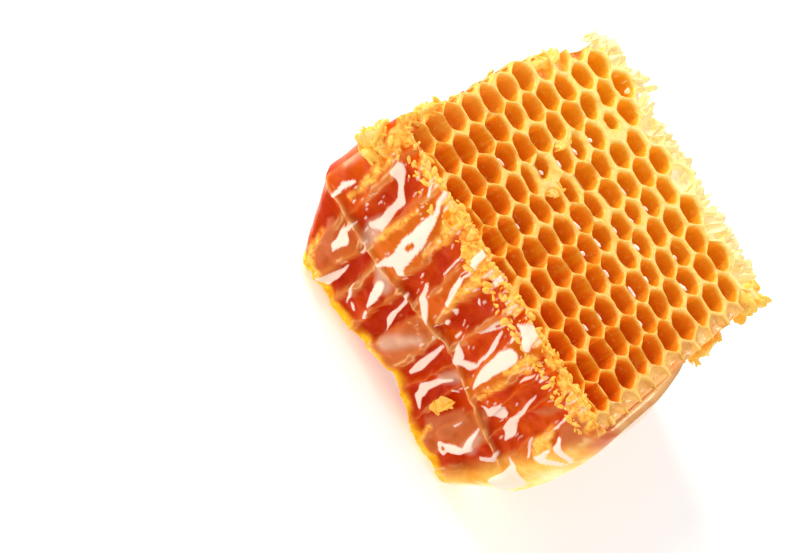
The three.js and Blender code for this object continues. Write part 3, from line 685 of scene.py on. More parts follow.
def honey_tier(upper):
    """One tier of the honey's coat as a closed shell. Its outer sheet runs from its wavy end on the left side round
    the corner, along the front lobe by lobe and round the right corner to its other end. The lobes' ends sway with
    noise. Between its walls a lobe dips by 1 - (2s - 1)⁴ across and by the root of a sine up the tier, and thin
    ridges stand over the walls and the midrib. The inner sheet lies in the wax. Where the honey catches the light a
    low bead is added, and the shading leans towards the light."""
    path = np.linspace(0, 1, AROUND)
    share = np.linspace(0, 1, UP)
    share_left = np.clip(path / LEFT_END, 0, 1)[:, None]
    share_front = np.clip((path - LEFT_END) / (FRONT_END - LEFT_END), 0, 1)
    share_right = np.clip((path - FRONT_END) / (1 - FRONT_END), 0, 1)[:, None]
    on_left, on_right = (path < LEFT_END)[:, None], (path > FRONT_END)[:, None]
    on_front = ~on_left & ~on_right

    low_ends, high_ends = (LOBE_ABOVE, LOBE_RIM) if upper else (LOBE_FLOOR, LOBE_BELOW)
    ends = lerp(np.array(low_ends), np.array(high_ends), share[:, None])
    wall_number = np.arange(LOBES + 1)
    along = np.stack(np.broadcast_arrays(7.3 * wall_number, 0.0, 15 * share[:, None] + 40 * upper), -1)
    sway = 0.75 * noise(along, 4.2, 41) + 0.35 * noise(along, 1.5, 42)
    ends = ends + sway * ((wall_number > 0) & (wall_number < LOBES))
    lobe = share_front * LOBES
    number = np.minimum(lobe.astype(int), LOBES - 1)
    inside = (lobe - number)[:, None]
    size = ends.T[number + 1] - ends.T[number]
    x_front = ends.T[number] + size * inside
    x_seen = np.where(on_front, x_front, np.where(on_left, ends[:, 0], ends[:, -1]))
    ridge = ridge_at(x_seen)
    foot = foot_at(x_seen)
    z = lerp(ridge - 0.25, HEIGHT - 0.15, share) if upper else lerp(foot, ridge + 0.25, share)
    depth = HEIGHT - z

    y_right = lerp(FRONT + 1.5 + corner_cut_at(z), coat_end_at(z), share_right)
    x_seen = x_seen + np.where(on_right, 2.2 * (y_right - FRONT - 1.5 - corner_cut_at(z)), 0)
    spot = np.stack([x_seen, 0 * x_seen, depth], -1)
    wide, fine = noise(spot, 2.4, 31), noise(spot, 0.8, 32)
    x_shine = x_seen + 0.2 * noise(spot, 1.5, 38)
    x_mark = x_seen + 0.35 * noise(spot, 1.4, 33) + 0.16 * noise(spot, 0.55, 34)
    depth_mark = depth + 0.4 * noise(spot, 1.7, 36) + 0.15 * noise(spot, 0.6, 37)
    from_wall = np.minimum(inside, 1 - inside) * size
    wall_side = np.where(inside > 0.5, number[:, None] + 1, number[:, None])
    strong = smoothstep(draw(wall_side, 7, 43) + 0.5 * noise(spot, 3.0, 44), 0.1, 0.7)
    dip = np.array(DIP_UPPER if upper else DIP_LOWER)[number][:, None]
    bowl = 1 - (2 * inside - 1) ** 4
    tier = np.sqrt(np.sin(math.pi * np.clip(share, 0.02, 0.98)))
    gold = cover(x_mark, depth_mark, GOLDS, -0.55, 0.45)
    brim = smoothstep(0.8 + 1.4 * noise(spot, 1.9, 45) + 0.9 * noise(spot, 0.7, 46) - depth, -0.4, 0.3)
    gold = np.maximum(gold, brim)
    lip = smoothstep(foot + 2.0 + 1.0 * noise(spot, 2.2, 47) - z, -0.8, 0.8)
    film = cover(x_mark, depth_mark, FILM_SHEENS, -0.5, 0.5)
    bloom = cover(x_seen, depth, SOFT_SHEENS, -0.9, 0.7)
    # Where the honey catches the lights: a low bead, shading leaned towards the shine light and a painted pale
    # highlight
    shine = np.minimum(to_strokes(x_shine, depth, (*SHINES, *sparkles(170))), -to_strokes(x_shine, depth, HOLES))

    wall = bell(from_wall + 0.25 * fine, 0, 0.3 + 0.3 * strong) * (0.35 + 0.65 * strong)
    out = WALL_OUT - 1.25 * dip * bowl * tier - 0.5 * (1 - tier)
    out = out + 0.5 * wall * tier + 0.45 * wide * tier + 0.12 * fine
    out = out + 0.75 * bell(z, ridge + 0.3 * wide, 0.6) - 0.5 * bell(z, ridge, 2.4)
    out = out + gold * (0.2 + 0.6 * rough(spot, 1.0, 2, 48)) + 0.4 * film * tier
    out = out + 0.25 * smoothstep(shine, -0.5, 0.4)
    edge = smoothstep(share, 0.93, 1.0) if upper else 1 - smoothstep(share, 0.0, 0.08)
    out = np.minimum(out, MOST_OUT) - (2.2 if upper else 0.9) * edge ** 2
    y_front = FRONT - out
    y_left = lerp(coat_end_at(HEIGHT - z + 3) - LEFT_COAT_SHIFT, FRONT, share_left)
    past_end = smoothstep(share_left, 0, 0.3)
    out_left = 1.3 * smoothstep(share_left, 0.1, 0.6) - 0.6 * (1 - past_end)
    out_left = out_left + 0.45 * rough(np.stack([0 * z, y_left, z / 2.5], -1), 3.2, 2, 35) * past_end
    x_left = left_at(y_left, z) - out_left
    belly = 2.3 * np.sin(math.pi * np.clip((HEIGHT + 2 - z) / 28, 0, 1)) ** 0.7
    x_right = (right_at(y_right, z) + (0.6 + belly) * (1 - smoothstep(share_right, 0.5, 1))
               - 0.6 * smoothstep(share_right, 0.8, 1))

    x = np.where(on_left, x_left, np.where(on_front, x_front, x_right))
    y = np.where(on_left, y_left, np.where(on_front, y_front, y_right))
    outer = np.stack([x, y, z], -1)
    joints = (np.abs(path - LEFT_END) < 0.02) | (np.abs(path - FRONT_END) < 0.03)
    for _ in range(30):
        blend = (np.roll(outer, 1, 0) + 2 * outer + np.roll(outer, -1, 0)) / 4
        outer[joints] = blend[joints]
    outer[1:-1, 1:-1] = (outer[:-2, 1:-1] + 2 * outer[1:-1, 1:-1] + outer[2:, 1:-1]) / 4

    left, right = left_at(y, z) + BURIED, right_at(y, z) - BURIED
    inner = np.stack([np.clip(np.where(on_left, left, np.where(on_right, right, x)), left, right - corner_cut_at(z)),
                      np.where(on_front, FRONT + BURIED, np.maximum(y, FRONT + BURIED)),
                      np.clip(outer[..., 2], 0.05, HEIGHT - 1.2)], -1)

    normals = surface_normals(outer)
    lean = smoothstep(shine, -0.06, 0.1)[..., None]
    normals = lerp(normals, np.array(SHINE_FACES), lean)
    normals /= np.linalg.norm(normals, axis=-1, keepdims=True)
    normals = np.where(lean > 0, normals, 0)
    loop = np.concatenate([outer, inner[:, ::-1]], 1)
    loop_normals = np.concatenate([normals, 0 * normals], 1)

    thin_left = on_left * (1 - smoothstep(share_left, 0, 0.8)) + 0 * z
    ridge_line = bell(z, ridge + 0.3 * wide, 0.45)
    line = bell(from_wall + 0.2 * fine, 0.35, 0.14) * smoothstep(noise(spot, 1.5, 49), -0.1, 0.5) * strong
    line = np.maximum(line, bell(z, ridge + 0.3 * wide, 0.18) * smoothstep(noise(spot, 1.2, 50), -0.4, 0.4))
    rightwards = outer[..., 0] + 0.22 * depth
    # Colour marks. Painted light and shade among them: deep darkens the lobes' hollows, pale lightens the lobes that
    # stand out, the pinkish tan and soft bright marks are soft reflections, clear and bright are the thin yellow honey
    # at the right with painted light coming through it, shine is a pale highlight and flare its glow at the right
    # corner, where the lights don't reach
    marks = {
        "wall": np.where(on_front, np.maximum(wall, 0.9 * ridge_line), 0),
        "line": np.where(on_front, line, 0),
        "pale": np.where(on_front, smoothstep(0.6 - dip * bowl, 0.2, 1.2), 0.5 * on_right) + 0.6 * thin_left,
        "film": np.where(on_front, np.maximum(film, 0 if upper else 0.6 * smoothstep(-dip * bowl, 0, 0.3)),
                         0.4 * on_right * (1 - smoothstep(depth, 2, 8)) * (1 - smoothstep(share_right, 0, 0.3))),
        "gold": np.where(on_front, gold, np.where(on_left, brim, 0)),
        "lip": np.where(on_front, 0 if upper else lip, 0.7 * thin_left ** 3),
        "deep": np.where(on_front, smoothstep(dip * bowl * tier, 0.5, 1.2) * (0.7 + 0.5 * wide), 0),
        "bloom": np.where(on_front, bloom, 0.2 * on_right * (1 - smoothstep(depth, 1.5, 6))),
        "shine": smoothstep(shine, -0.05, 0.1),
        "beige": np.where(on_right, smoothstep(share_right, 0, 0.15), 0),
        "clear": smoothstep(rightwards, 21.4, 25.4) * smoothstep(depth, 1, 7) * ~on_left
                 * (1 - 0.7 * smoothstep(share_right, 0.1, 0.5)),
        "bright": smoothstep(rightwards, 25.8, 28.6) * smoothstep(depth, 2, 7) * ~on_left
                  * (1 - smoothstep(share_right, 0.1, 0.5)),
        "flare": smoothstep(shine, -0.05, 0.1) * smoothstep(x_seen, 19.2, 20.6),
    }
    marks = {label: np.concatenate([values + 0 * z, np.where(on_right, (values + 0 * z)[:, ::-1], 0)], 1).reshape(-1)
             for label, values in marks.items()}
    return loop.reshape(-1, 3), coat_faces(), marks, loop_normals.reshape(-1, 3)


def turns(directions, seed):
    """Turning matrices whose third axis is a direction, rolled round it by a draw."""
    axis = np.asarray(directions, float)
    axis = axis / np.linalg.norm(axis, axis=1, keepdims=True)
    other = np.where(np.abs(axis[:, 2:]) > 0.8, [[1.0, 0, 0]], [[0, 0, 1.0]])
    side = np.cross(other, axis)
    side /= np.linalg.norm(side, axis=1, keepdims=True)
    roll = 2 * math.pi * draw(np.arange(len(axis)), 3, seed)[:, None]
    side = side * np.cos(roll) + np.cross(axis, side) * np.sin(roll)
    return np.stack([side, np.cross(axis, side), axis], -1)


def any_way(count, seed):
    """Directions drawn from the box round a ball."""
    k = np.arange(count)
    return np.stack([2 * draw(k, n, seed) - 1 for n in (11, 12, 13)], -1) + 1e-3


def lumps(places, radii, directions, spiky, seed, rings=24, around=32):
    """Rough lumps, all as one array: balls with three radii, the last along a direction. They are drawn in and out
    by sharp noise: 1 - 2|n| at three sizes. Without directions the radii follow X, Y and Z."""
    places, radii = np.asarray(places, float), np.asarray(radii, float)
    v = np.linspace(0, math.pi, rings)
    u = np.arange(around) / around * 2 * math.pi
    way = np.stack([np.sin(v)[:, None] * np.cos(u), np.sin(v)[:, None] * np.sin(u),
                    np.broadcast_to(np.cos(v)[:, None], (rings, around))], -1)
    own = way * radii[:, None, None]
    size = radii.max(1)[:, None, None, None]
    spot = own / size * 2 + 9.7 * np.arange(len(places))[:, None, None, None]
    sharp = sum((1 - 2 * np.abs(noise(spot, 1.5 / 2 ** n, seed + n))) / 1.6 ** n for n in range(3)) / 2
    own = own * (1 + spiky * sharp[..., None])
    if directions is not None:
        own = np.einsum("nij,nabj->nabi", turns(directions, seed), own)
    points = places[:, None, None] + own
    return points.reshape(-1, 3), repeated(tube_faces(rings, around)[:, ::-1], len(places))


# Heaps of crumpled wax: middle, spread, number of flakes, their size and the way they point
HEAPS = (
    ((-30.6, -28.5, HEIGHT - 5.4), (2.2, 0.9, 2.4), 60, 1.6, (-0.9, -0.3, 0.2)),
    ((-31.2, -20.5, HEIGHT - 1.0), (0.7, 4.4, 0.9), 30, 0.9, (-0.7, 0, 0.5)),
    ((22.3, 27.6, HEIGHT - 2.2), (1.7, 3.2, 1.6), 44, 1.4, (0.5, 0.2, 0.5)),
    ((24.3, 12.5, HEIGHT - 3.8), (0.4, 4.4, 1.2), 24, 1.1, (0.6, -0.2, -0.3)),
    ((-14.5, -27.6, HEIGHT - 0.5), (1.5, 0.7, 0.4), 12, 0.8, (0, -0.5, 0.5)),
    ((-28.4, 13.0, HEIGHT - 1.2), (0.8, 4.5, 0.8), 26, 0.9, (-0.7, 0, 0.6)),
    ((7.5, -29.9, HEIGHT - 21.5), (0.8, 0.2, 1.7), 16, 0.8, (0, -0.6, 0.2)),
    ((-10.8, -3.4, HEIGHT - 1.0), (1.6, 2.2, 0.25), 14, 0.6, (0.2, 0.3, 0.3)),
    ((-15.4, 5.0, HEIGHT - 0.6), (0.7, 2.4, 0.2), 8, 0.7, (0.2, 0.3, 0.3)),
)


def heaps(seed=71):
    """The heaps' flakes and, inside each heap, one rough lump that holds them together."""
    middles, spreads, counts, sizes, ways = (np.array(list(values), float) for values in zip(*HEAPS))
    number = np.repeat(np.arange(len(HEAPS)), counts.astype(int))
    count = len(number)
    k = np.arange(count)
    place_in = any_way(count, seed)
    places = middles[number] + spreads[number] * place_in
    size = sizes[number] * (0.55 + 0.7 * draw(k, 4, seed))
    radii = size[:, None] * np.stack([0.45 + 0.3 * draw(k, 5, seed), 0.16 + 0.1 * draw(k, 6, seed), 1 + 0 * size], -1)
    flakes = lumps(places, radii, ways[number] + 0.9 * any_way(count, seed + 1), 0.35, seed, 9, 8)
    cores = lumps(middles, np.maximum(spreads, 0.35) * 0.95, None, 0.25, seed, 30, 40)
    return flakes, cores


def rim_crumbs(count, seed=81):
    """Crumbs and flakes where the cut tore the rim: thicker from the middle to the right, and lower further out."""
    k = np.arange(count)
    x = lerp(-30.0, 21.5, draw(k, 1, seed) ** 0.8)
    y = FRONT + 1.7 - 3.9 * draw(k, 2, seed)
    z = HEIGHT - 0.15 - 0.8 * np.maximum(0, FRONT + 0.4 - y) - 0.5 * draw(k, 3, seed)
    size = 0.24 + 0.6 * draw(k, 4, seed) ** 2
    radii = size[:, None] * np.stack([0.5 + 0.3 * draw(k, 5, seed), 0.25 + 0.2 * draw(k, 6, seed), 1 + 0 * x], -1)
    return lumps(np.stack([x, y, z], -1), radii, any_way(count, seed) * [1, 0.8, 0.6], 0.45, seed, 7, 8)


def torn_tips(count, seed=91):
    """Thin torn points of wax along the back, leaning out and up."""
    k = np.arange(count)
    x = lerp(-28.0, 19.5, draw(k, 1, seed))
    out = draw(k, 2, seed)
    y = back_at(x) - 2.0 + (3.4 + 1.2 * bell(x, -17.5, 3.5)) * out
    z = HEIGHT - 0.8 - 1.8 * draw(k, 3, seed) * out
    size = 0.7 + 1.1 * draw(k, 4, seed)
    radii = np.stack([(0.3 + 0.35 * draw(k, 9, seed)) * size, 0.1 + 0.06 * draw(k, 5, seed), size], -1)
    ways = np.stack([1.2 * (draw(k, 6, seed) - 0.5), 0.3 + 0.9 * draw(k, 7, seed), 0.3 + 0.5 * draw(k, 8, seed)], -1)
    return lumps(np.stack([x, y, z], -1), radii, ways, 0.35, seed, 9, 8)


def cell_glints(lattice, seed=95):
    """Painted highlights on the near side of cells that are nearly full, where the wet honey catches the light, as
    pale flat lumps along X.
    """
    middle = lattice.middle.reshape(-1, 2)
    column, row = lattice.column.reshape(-1), lattice.row.reshape(-1)
    x, y = middle.T
    full = ((x > -21) & (x < 16) & (y > -7) & (y < 17) & (draw(column, row, seed) > 0.45))
    full |= (y < -8) & (y > FRONT + 3.5) & (x > -20) & (x < 20) & (draw(column, row, seed) > 0.86)
    x, y, column, row = x[full], y[full], column[full], row[full]
    size = 0.35 + 0.5 * draw(column, row, seed + 1)
    z = HEIGHT - 1.0 - 0.4 * draw(column, row, seed + 2)
    places = np.stack([x + 0.9 * (draw(column, row, seed + 3) - 0.3),
                       y - 0.85 - 0.3 * draw(column, row, seed + 4), z], -1)
    radii = np.stack([0.22 + 0.12 * draw(column, row, seed + 5), 0.2 + 0 * x, 1.1 * size], -1)
    ways = np.stack([1 + 0 * x, 0.5 * (draw(column, row, seed + 6) - 0.5), 0.2 + 0 * x], -1)
    return lumps(places, radii, ways, 0.25, seed, 16, 16)


# Materials

class Socket:
    """A shader socket, with sums and products that add Math nodes."""

    def __init__(self, tree, link):
        self.tree, self.link = tree, link

    def math(self, operation, *others):
        """A Math node on this socket and other sockets or numbers."""
        return self.tree.node("ShaderNodeMath", {"operation": operation},
                              {n: value for n, value in enumerate((self, *others))})

    def __add__(self, other):
        return self.math("ADD", other)

    def __mul__(self, other):
        return self.math("MULTIPLY", other)

    def __sub__(self, other):
        return self.math("SUBTRACT", other)

    def __rsub__(self, other):
        return self.tree.node("ShaderNodeMath", {"operation": "SUBTRACT"}, {0: other, 1: self})

    __radd__ = __add__
    __rmul__ = __mul__


class Tree:
    """A material's nodes. node() makes one and returns its output as a Socket."""

    def __init__(self, name):
        self.material = bpy.data.materials.new(name)
        self.material.use_nodes = True
        self.nodes = self.material.node_tree.nodes
        self.nodes.clear()
        self.links = self.material.node_tree.links
        self.output = self.nodes.new("ShaderNodeOutputMaterial")

    def node(self, kind, settings=None, sockets=None, output=0):
        """A node of a type. Its settings are set first, then the values or links of its sockets."""
        node = self.nodes.new(kind)
        for key, value in (settings or {}).items():
            if key == "stops":
                while len(node.color_ramp.elements) < len(value):
                    node.color_ramp.elements.new(0.5)
                for stop, (at, colour) in zip(node.color_ramp.elements, value):
                    stop.position, stop.color = at, (*colour, 1)
            else:
                setattr(node, key, value)
        for key, value in (sockets or {}).items():
            if isinstance(value, Socket):
                self.links.new(value.link, node.inputs[key])
            else:
                node.inputs[key].default_value = value
        return Socket(self, node.outputs[output])

    def mix(self, a, b, factor, blend="MIX"):
        """Two colours mixed."""
        a = (*a, 1) if isinstance(a, tuple) and len(a) == 3 else a
        b = (*b, 1) if isinstance(b, tuple) and len(b) == 3 else b
        return self.node("ShaderNodeMix", {"data_type": "RGBA", "blend_type": blend}, {0: factor, 6: a, 7: b}, 2)

    def ramp(self, value, low, high):
        """0 at low to 1 at high."""
        return self.node("ShaderNodeMapRange", {}, {"Value": value, "From Min": low, "From Max": high})

    def blend(self, first, second, value, low, high):
        """Two display colours, mixed as a value goes from low to high."""
        return self.mix(srgb(*first), srgb(*second), self.ramp(value, low, high))

    def place(self):
        """The piece's own coordinates, in metres."""
        return self.node("ShaderNodeTexCoord", {}, {}, 3)

    def noise(self, size, detail=3.0, rough=0.55, distort=0.0):
        """Noise with lumps of a size in metres."""
        return self.node("ShaderNodeTexNoise", {}, {"Vector": self.place(), "Scale": 1 / size, "Detail": detail,
                                                    "Roughness": rough, "Distortion": distort})

    def attribute(self, name):
        """A number kept at the mesh's points."""
        return self.node("ShaderNodeAttribute", {"attribute_name": name}, {}, 2)

    def part(self, vector, axis):
        """One of a vector's three numbers."""
        return self.node("ShaderNodeSeparateXYZ", {}, {0: vector}, axis)

    def bump(self, height, strength, distance):
        """A normal that a height bends."""
        return self.node("ShaderNodeBump", {}, {"Height": height, "Strength": strength, "Distance": distance})

    def finish(self, **sockets):
        """The Principled shader with these sockets, on the output."""
        named = {key.replace("_", " ").title().replace("Ior", "IOR"): value for key, value in sockets.items()}
        shader = self.node("ShaderNodeBsdfPrincipled", {"subsurface_method": "RANDOM_WALK"}, named)
        self.links.new(shader.link, self.output.inputs["Surface"])
        return self.material


def srgb(red, green, blue):
    """A display colour from 0 to 255 as linear light."""
    return tuple(c / 12.92 if c <= 0.04045 else ((c + 0.055) / 1.055) ** 2.4
                 for c in (red / 255, green / 255, blue / 255))


BLACK = (0.0, 0.0, 0.0)


def wax_material(name="Comb wax", cells=True, pale=0.0, paler=(255, 244, 196)):
    """Golden wax, painted paler towards the back, where light comes through it. In the cells it goes deeper and redder
    down the walls: painted shade. All of it has a faint painted glow.
    """
    tree = Tree(name)
    spot = tree.place()
    back = tree.ramp(tree.part(spot, 1) - tree.part(spot, 0) * 0.5, -0.034, 0.046)
    rim = tree.mix(srgb(246, 172, 46), srgb(253, 216, 104), back)
    colour = rim
    if cells:
        # Painted shade down the cells: the walls' colour goes deeper and redder with depth, in the tan and whitish cut
        # cells too
        depth = tree.attribute("depth")
        near = tree.mix(srgb(236, 124, 12), srgb(248, 198, 44), back)
        deep = tree.mix(srgb(196, 66, 0), srgb(240, 174, 14), back)
        # Painted light through the thin wax: cells towards the left edge are lighter
        thin = tree.ramp(tree.part(spot, 0), -0.0205, -0.0265) * 0.6
        near, deep = tree.mix(near, srgb(250, 206, 84), thin), tree.mix(deep, srgb(244, 172, 48), thin)
        colour = tree.mix(tree.mix(rim, near, tree.ramp(depth, 0.15, 0.7)), deep, tree.ramp(depth, 0.6, 3.0))
        tan = tree.blend((248, 200, 100), (214, 152, 84), depth, 0.2, 1.0)
        colour = tree.mix(colour, tan, tree.attribute("tan") * 0.85)
        torn = tree.blend((255, 236, 150), (255, 238, 205), depth, 0.2, 1.4)
        colour = tree.mix(colour, torn, tree.attribute("torn") * 0.85)
    speck = tree.noise(0.0009, 4.0, 0.7)
    colour = tree.mix(colour, srgb(255, 226, 128), tree.ramp(speck, 0.56, 0.8) * 0.55)
    colour = tree.mix(colour, srgb(226, 128, 30), tree.ramp(speck, 0.46, 0.28) * 0.4)
    if pale:
        colour = tree.mix(colour, srgb(*paler), pale)
    # The emission is a painted glow: light that comes through the wax
    return tree.finish(base_color=colour, roughness=0.36, subsurface_weight=0.3,
                       subsurface_radius=(1.0, 0.45, 0.12), subsurface_scale=0.0012,
                       emission_color=colour, emission_strength=0.2,
                       normal=tree.bump(tree.noise(0.0006, 4.0), 0.45, 0.0003))


def honey_material(name="Honey", marked=True):
    """Amber honey. Layers are mixed over it by the marks on its coat: a mark, its weight and its colour, or two
    colours with the pattern that mixes them. Some layers are painted light and shade. All of it has a painted glow,
    stronger on gold, lips, clear parts and shines."""
    tree = Tree(name)
    cloud = tree.noise(0.004, 4.0)
    colour = tree.blend((206, 50, 0), (232, 90, 0), cloud, 0.38, 0.62)
    if marked:
        height = tree.ramp(tree.part(tree.place(), 2), 0.012, 0.018)
        colour = tree.mix(tree.blend((190, 34, 0), (212, 60, 0), cloud, 0.4, 0.62), colour, height)
        fleck = tree.noise(0.0014, 5.0, 0.65, 1.0)
        # Painted light and shade among the layers: deep darkens the hollows, pale lightens the lobes that stand out,
        # the pinkish tan and soft bright layers are soft reflections, clear and bright are thin honey with light
        # coming through it, and shine is a highlight
        layers = (
            ("deep", 0.5, (186, 28, 0)), ("pale", 0.7, (226, 116, 22)), ("film", 0.8, (212, 116, 68)),
            ("wall", 0.75, (226, 140, 66)),
            ("gold", 0.85, (230, 124, 16), (255, 218, 100), fleck, 0.36, 0.62),
            ("lip", 0.9, (240, 158, 14), (252, 210, 46), fleck, 0.3, 0.66),
            ("line", 0.8, (250, 206, 140)),
            ("beige", 0.9, (224, 140, 62), (238, 182, 108), cloud, 0.36, 0.6),
            ("clear", 1.0, (240, 158, 44), (248, 196, 92), cloud, 0.36, 0.6),
            ("bright", 1.0, (250, 212, 110), (255, 238, 178), cloud, 0.36, 0.6),
            ("bloom", 0.7, (238, 192, 162)), ("shine", 0.8, (246, 222, 208)),
        )
        for mark, weight, first, *second in layers:
            paint = tree.blend(first, *second) if second else srgb(*first)
            colour = tree.mix(colour, paint, tree.attribute(mark) * weight)
        # Painted glow from the honey's own colour: stronger on gold, lips, clear parts and highlights, and near white
        # on the highlights at the right corner, where the lights don't reach
        lit = (tree.attribute("gold") + tree.attribute("lip") + tree.attribute("clear")
               + tree.attribute("shine")) * 0.27 + 0.18
        glow = tree.mix(BLACK, colour, lit.math("MINIMUM", 0.45) + tree.attribute("flare") * 0.5)
    else:
        glow = tree.mix(BLACK, colour, 0.18)
    return tree.finish(base_color=colour, roughness=0.05, ior=1.3, specular_ior_level=0.35,
                       specular_tint=(1, 0.5, 0.25, 1), subsurface_weight=0.2, subsurface_radius=(1.0, 0.3, 0.05),
                       subsurface_scale=0.0015, emission_color=glow, emission_strength=0.7)


def side_material():
    """The honey that fills the cells of the other cut sides: amber, and near the rim tan at the right, whitish at the
    back and yellow at the left."""
    tree = Tree("Cut cells")
    cloud = tree.noise(0.003, 4.0, 0.6, 0.6)
    high = tree.ramp(tree.part(tree.place(), 2), 0.021, 0.0285)
    colour = tree.mix(tree.blend((232, 120, 8), (250, 172, 30), cloud, 0.36, 0.62),
                      tree.blend((226, 132, 30), (244, 178, 52), cloud, 0.38, 0.64), high)
    colour = tree.mix(colour, tree.blend((216, 148, 66), (240, 186, 98), cloud, 0.4, 0.6),
                      tree.attribute("tan") * (high * 0.8 + 0.2))
    colour = tree.mix(colour, tree.blend((255, 226, 150), (255, 242, 218), cloud, 0.36, 0.56),
                      tree.attribute("torn") * (high * 0.9))
    # The emission is a painted glow, stronger towards the rim
    return tree.finish(base_color=colour, roughness=0.2, subsurface_weight=0.3, subsurface_radius=(1.0, 0.45, 0.12),
                       subsurface_scale=0.0015, emission_color=tree.mix(BLACK, colour, high * 0.4 + 0.6),
                       emission_strength=0.3, normal=tree.bump(tree.noise(0.0012, 4.0), 0.5, 0.0005))


def glint_material():
    """Painted highlight: a pale cream colour with a glow, where wet honey catches the light."""
    tree = Tree("Painted glint")
    colour = tree.blend((250, 214, 190), (255, 244, 236), tree.noise(0.0008), 0.4, 0.6)
    return tree.finish(base_color=colour, roughness=0.05, emission_color=colour, emission_strength=0.25)


MATERIALS = {}


def material(name):
    """The piece's material, made once."""
    makers = {"wax": wax_material, "loose": lambda: wax_material("Loose wax", False), "honey": honey_material,
              "crumbs": lambda: wax_material("Crumbled wax", False, 0.45, (255, 212, 84)),
              "torn": lambda: wax_material("Torn wax", False, 0.6), "side": side_material, "glint": glint_material,
              "cell honey": lambda: honey_material("Cell honey", False)}
    if name not in MATERIALS:
        MATERIALS[name] = makers[name]()
    return MATERIALS[name]


# Stage

WHITE = (1, 1, 1)
# Name, place, where it is aimed, size, power, colour and whether only reflections show it
LIGHTS = (
    ("key", (-0.4, 0.035, 0.3), (0, 0, 0.015), (0.3, 0.3), 2.3, WHITE, False),
    ("shine", (-0.2, -0.38, 0.055), (0, -0.03, 0.015), (0.1, 0.09), 1.2, (0.75, 1, 1.25), True),
    ("fill", (0.42, -0.12, 0.4), (0, 0, 0.015), (0.4, 0.4), 0.8, WHITE, False),
    ("cell shine", (0.0, 0.5, 0.42), (0, 0, 0.03), (0.25, 0.1), 1.2, WHITE, True),
)


def area_light(name, at, aim, size, power, colour, glossy_only):
    """A rectangular light that the camera doesn't see."""
    light = bpy.data.lights.new(name, "AREA")
    light.shape = "RECTANGLE"
    light.size, light.size_y = size
    light.energy = power
    light.color = colour
    obj = bpy.data.objects.new(name, light)
    obj.location = at
    obj.rotation_euler = (Vector(aim) - Vector(at)).to_track_quat("-Z", "Y").to_euler()
    obj.visible_camera = False
    if glossy_only:
        obj.visible_diffuse = False
        obj.visible_transmission = False
    bpy.context.scene.collection.objects.link(obj)
    return obj


CAMERA_AT = (-14.2, -323.15, 250.1)
CAMERA_RIGHT = (0.543, 0.520, 0.659)
CAMERA_UP = (-0.840, 0.351, 0.415)


def make_camera():
    """The camera at the photo's viewing angle."""
    data = bpy.data.cameras.new("Camera")
    data.lens, data.sensor_width = 112.5, 36
    data.clip_start, data.clip_end = 0.01, 10
    right = Vector(CAMERA_RIGHT).normalized()
    up = Vector(CAMERA_UP)
    up = (up - right * up.dot(right)).normalized()
    back = right.cross(up)
    turn = Matrix((right, up, back)).transposed().to_4x4()
    obj = bpy.data.objects.new("Camera", data)
    obj.matrix_world = Matrix.Translation(Vector(CAMERA_AT) * MM) @ turn
    bpy.context.scene.collection.objects.link(obj)
    bpy.context.scene.camera = obj


def make_floor():
    """A plain pale floor that glows a little, so that it stays white."""
    tree = Tree("Pale floor")
    mat = tree.finish(base_color=(0.9, 0.9, 0.9, 1), roughness=0.7, emission_color=(1, 1, 1, 1), emission_strength=0.4)
    mesh = bpy.data.meshes.new("floor")
    mesh.from_pydata([(-3, -3, 0), (3, -3, 0), (3, 3, 0), (-3, 3, 0)], [], [(0, 1, 2, 3)])
    mesh.materials.append(mat)
    obj = bpy.data.objects.new("floor", mesh)
    bpy.context.scene.collection.objects.link(obj)


# Operators

class HoneycombSizes(bpy.types.PropertyGroup):
    """How fine the cells are and how much loose wax there is"""
    wall_steps: IntProperty(name="Wall steps", description="Steps round each cell's wall", default=48, min=12)
    crumbs: IntProperty(name="Crumbs", description="Crumbs of wax along the cut's rim", default=420, min=1)
    tips: IntProperty(name="Torn tips", description="Torn points of wax along the back", default=170, min=1)


class BuildComb(bpy.types.Operator):
    """The wax cells of both faces, the cut walls at the sides and the midrib"""
    bl_idname = "honeycomb.comb"
    bl_label = "Comb"

    def execute(self, context):
        upper, lower = Lattice(True), Lattice(False)
        steps = context.scene.honeycomb.wall_steps
        for name, lattice, columns in (("comb", upper, steps), ("lower", lower, steps // 2)):
            points, quads, marks, borders, plugs = cell_walls(lattice, columns)
            cells = piece(f"{name}_cells", points, quads, material("wax"), "wax", marks)
            if lattice.upper:
                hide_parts("comb")
            points, quads = cell_floors(borders, lattice.upper)
            piece(f"{name}_cell_honey", points, quads, material("cell honey"), "honey")
            points, quads, marks = cut_columns(plugs, lattice.upper)
            piece(f"{name}_side_honey", points, quads, material("side"), "honey", marks)
            start, end = wall_ends(lattice)
            count = len(start)
            high = np.full(count, HEIGHT - 0.3 if lattice.upper else MIDRIB - 0.2)
            low = np.full(count, MIDRIB + 0.2) if lattice.upper else underside(*end.T) + 0.1
            thick = 0.55 + 0.25 * draw(np.arange(count), 1, 5)
            ragged = np.where(end[:, 0] > RIGHT - 1, 0.15, 1.0)
            points, quads = blades(start, end, thick, np.minimum(low, high - 1), high, ragged, 21)
            piece(f"{name}_walls", points, quads, material("loose"), "wax")
        points, quads = midrib_sheet()
        piece("midrib", points, quads, material("loose"), "wax")
        points, quads = filled_cells()
        piece("filled_cells", points, quads, material("side"), "honey",
              {"torn": np.zeros(len(points)), "tan": np.zeros(len(points))})
        points, quads = cell_glints(upper)
        piece("cell_glints", points, quads, material("glint"), "honey")
        return {"FINISHED"}


class BuildHoney(bpy.types.Operator):
    """The honey over the cut side"""
    bl_idname = "honeycomb.honey"
    bl_label = "Honey"

    def execute(self, context):
        for name, upper in (("upper_honey", True), ("lower_honey", False)):
            points, quads, marks, normals = honey_tier(upper)
            coat = piece(name, points, quads, material("honey"), "honey", marks, normals)
            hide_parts("honey")
        return {"FINISHED"}


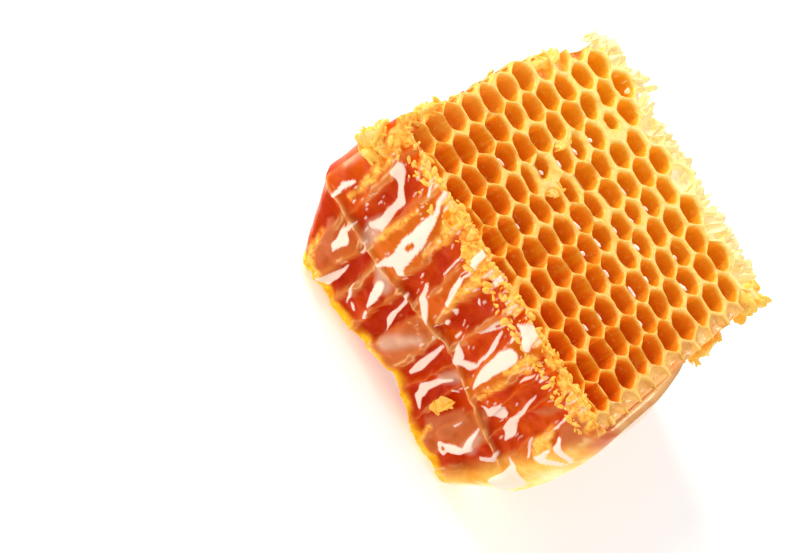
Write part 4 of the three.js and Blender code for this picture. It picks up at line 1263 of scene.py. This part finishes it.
class BuildLooseWax(bpy.types.Operator):
    """The rough lumps at the corners and the crumbs along the rim"""
    bl_idname = "honeycomb.loose_wax"
    bl_label = "Loose wax"

    def execute(self, context):
        sizes = context.scene.honeycomb
        flakes, cores = heaps()
        piece("wax_flakes", *flakes, material("crumbs"), "wax")
        piece("wax_heaps", *cores, material("crumbs"), "wax")
        piece("rim_crumbs", *rim_crumbs(sizes.crumbs), material("crumbs"), "wax")
        piece("torn_tips", *torn_tips(sizes.tips), material("torn"), "wax")
        return {"FINISHED"}


class BuildStage(bpy.types.Operator):
    """The floor, the lights and the camera"""
    bl_idname = "honeycomb.stage"
    bl_label = "Stage"

    def execute(self, context):
        make_floor()
        make_camera()
        for light in LIGHTS:
            area_light(*light)
        world = bpy.data.worlds.new("Studio")
        world.use_nodes = True
        world.node_tree.nodes["Background"].inputs[0].default_value = (1, 1, 1, 1)
        world.node_tree.nodes["Background"].inputs[1].default_value = 0.4
        context.scene.world = world
        context.scene.view_settings.view_transform = "Standard"
        return {"FINISHED"}


class HoneycombPanel(bpy.types.Panel):
    """The sizes and one button for each part of the build"""
    bl_idname = "VIEW3D_PT_honeycomb"
    bl_label = "Honeycomb piece"
    bl_space_type = "VIEW_3D"
    bl_region_type = "UI"
    bl_category = "Honeycomb"

    def draw(self, context):
        sizes = context.scene.honeycomb
        for name in sizes.__annotations__:
            self.layout.prop(sizes, name)
        for operator in OPERATORS:
            self.layout.operator(operator.bl_idname)


OPERATORS = (BuildComb, BuildHoney, BuildLooseWax, BuildStage)
CLASSES = (HoneycombSizes, *OPERATORS, HoneycombPanel)


def register():
    """Makes the operators, the panel and the scene's sizes known to Blender."""
    for cls in CLASSES:
        bpy.utils.register_class(cls)
    bpy.types.Scene.honeycomb = bpy.props.PointerProperty(type=HoneycombSizes)


def unregister():
    """Takes back what register made."""
    del bpy.types.Scene.honeycomb
    for cls in reversed(CLASSES):
        bpy.utils.unregister_class(cls)


def main():
    """Builds everything."""
    register()
    bpy.ops.honeycomb.comb()
    bpy.ops.honeycomb.honey()
    bpy.ops.honeycomb.loose_wax()
    bpy.ops.honeycomb.stage()


if __name__ == "__main__":
    main()
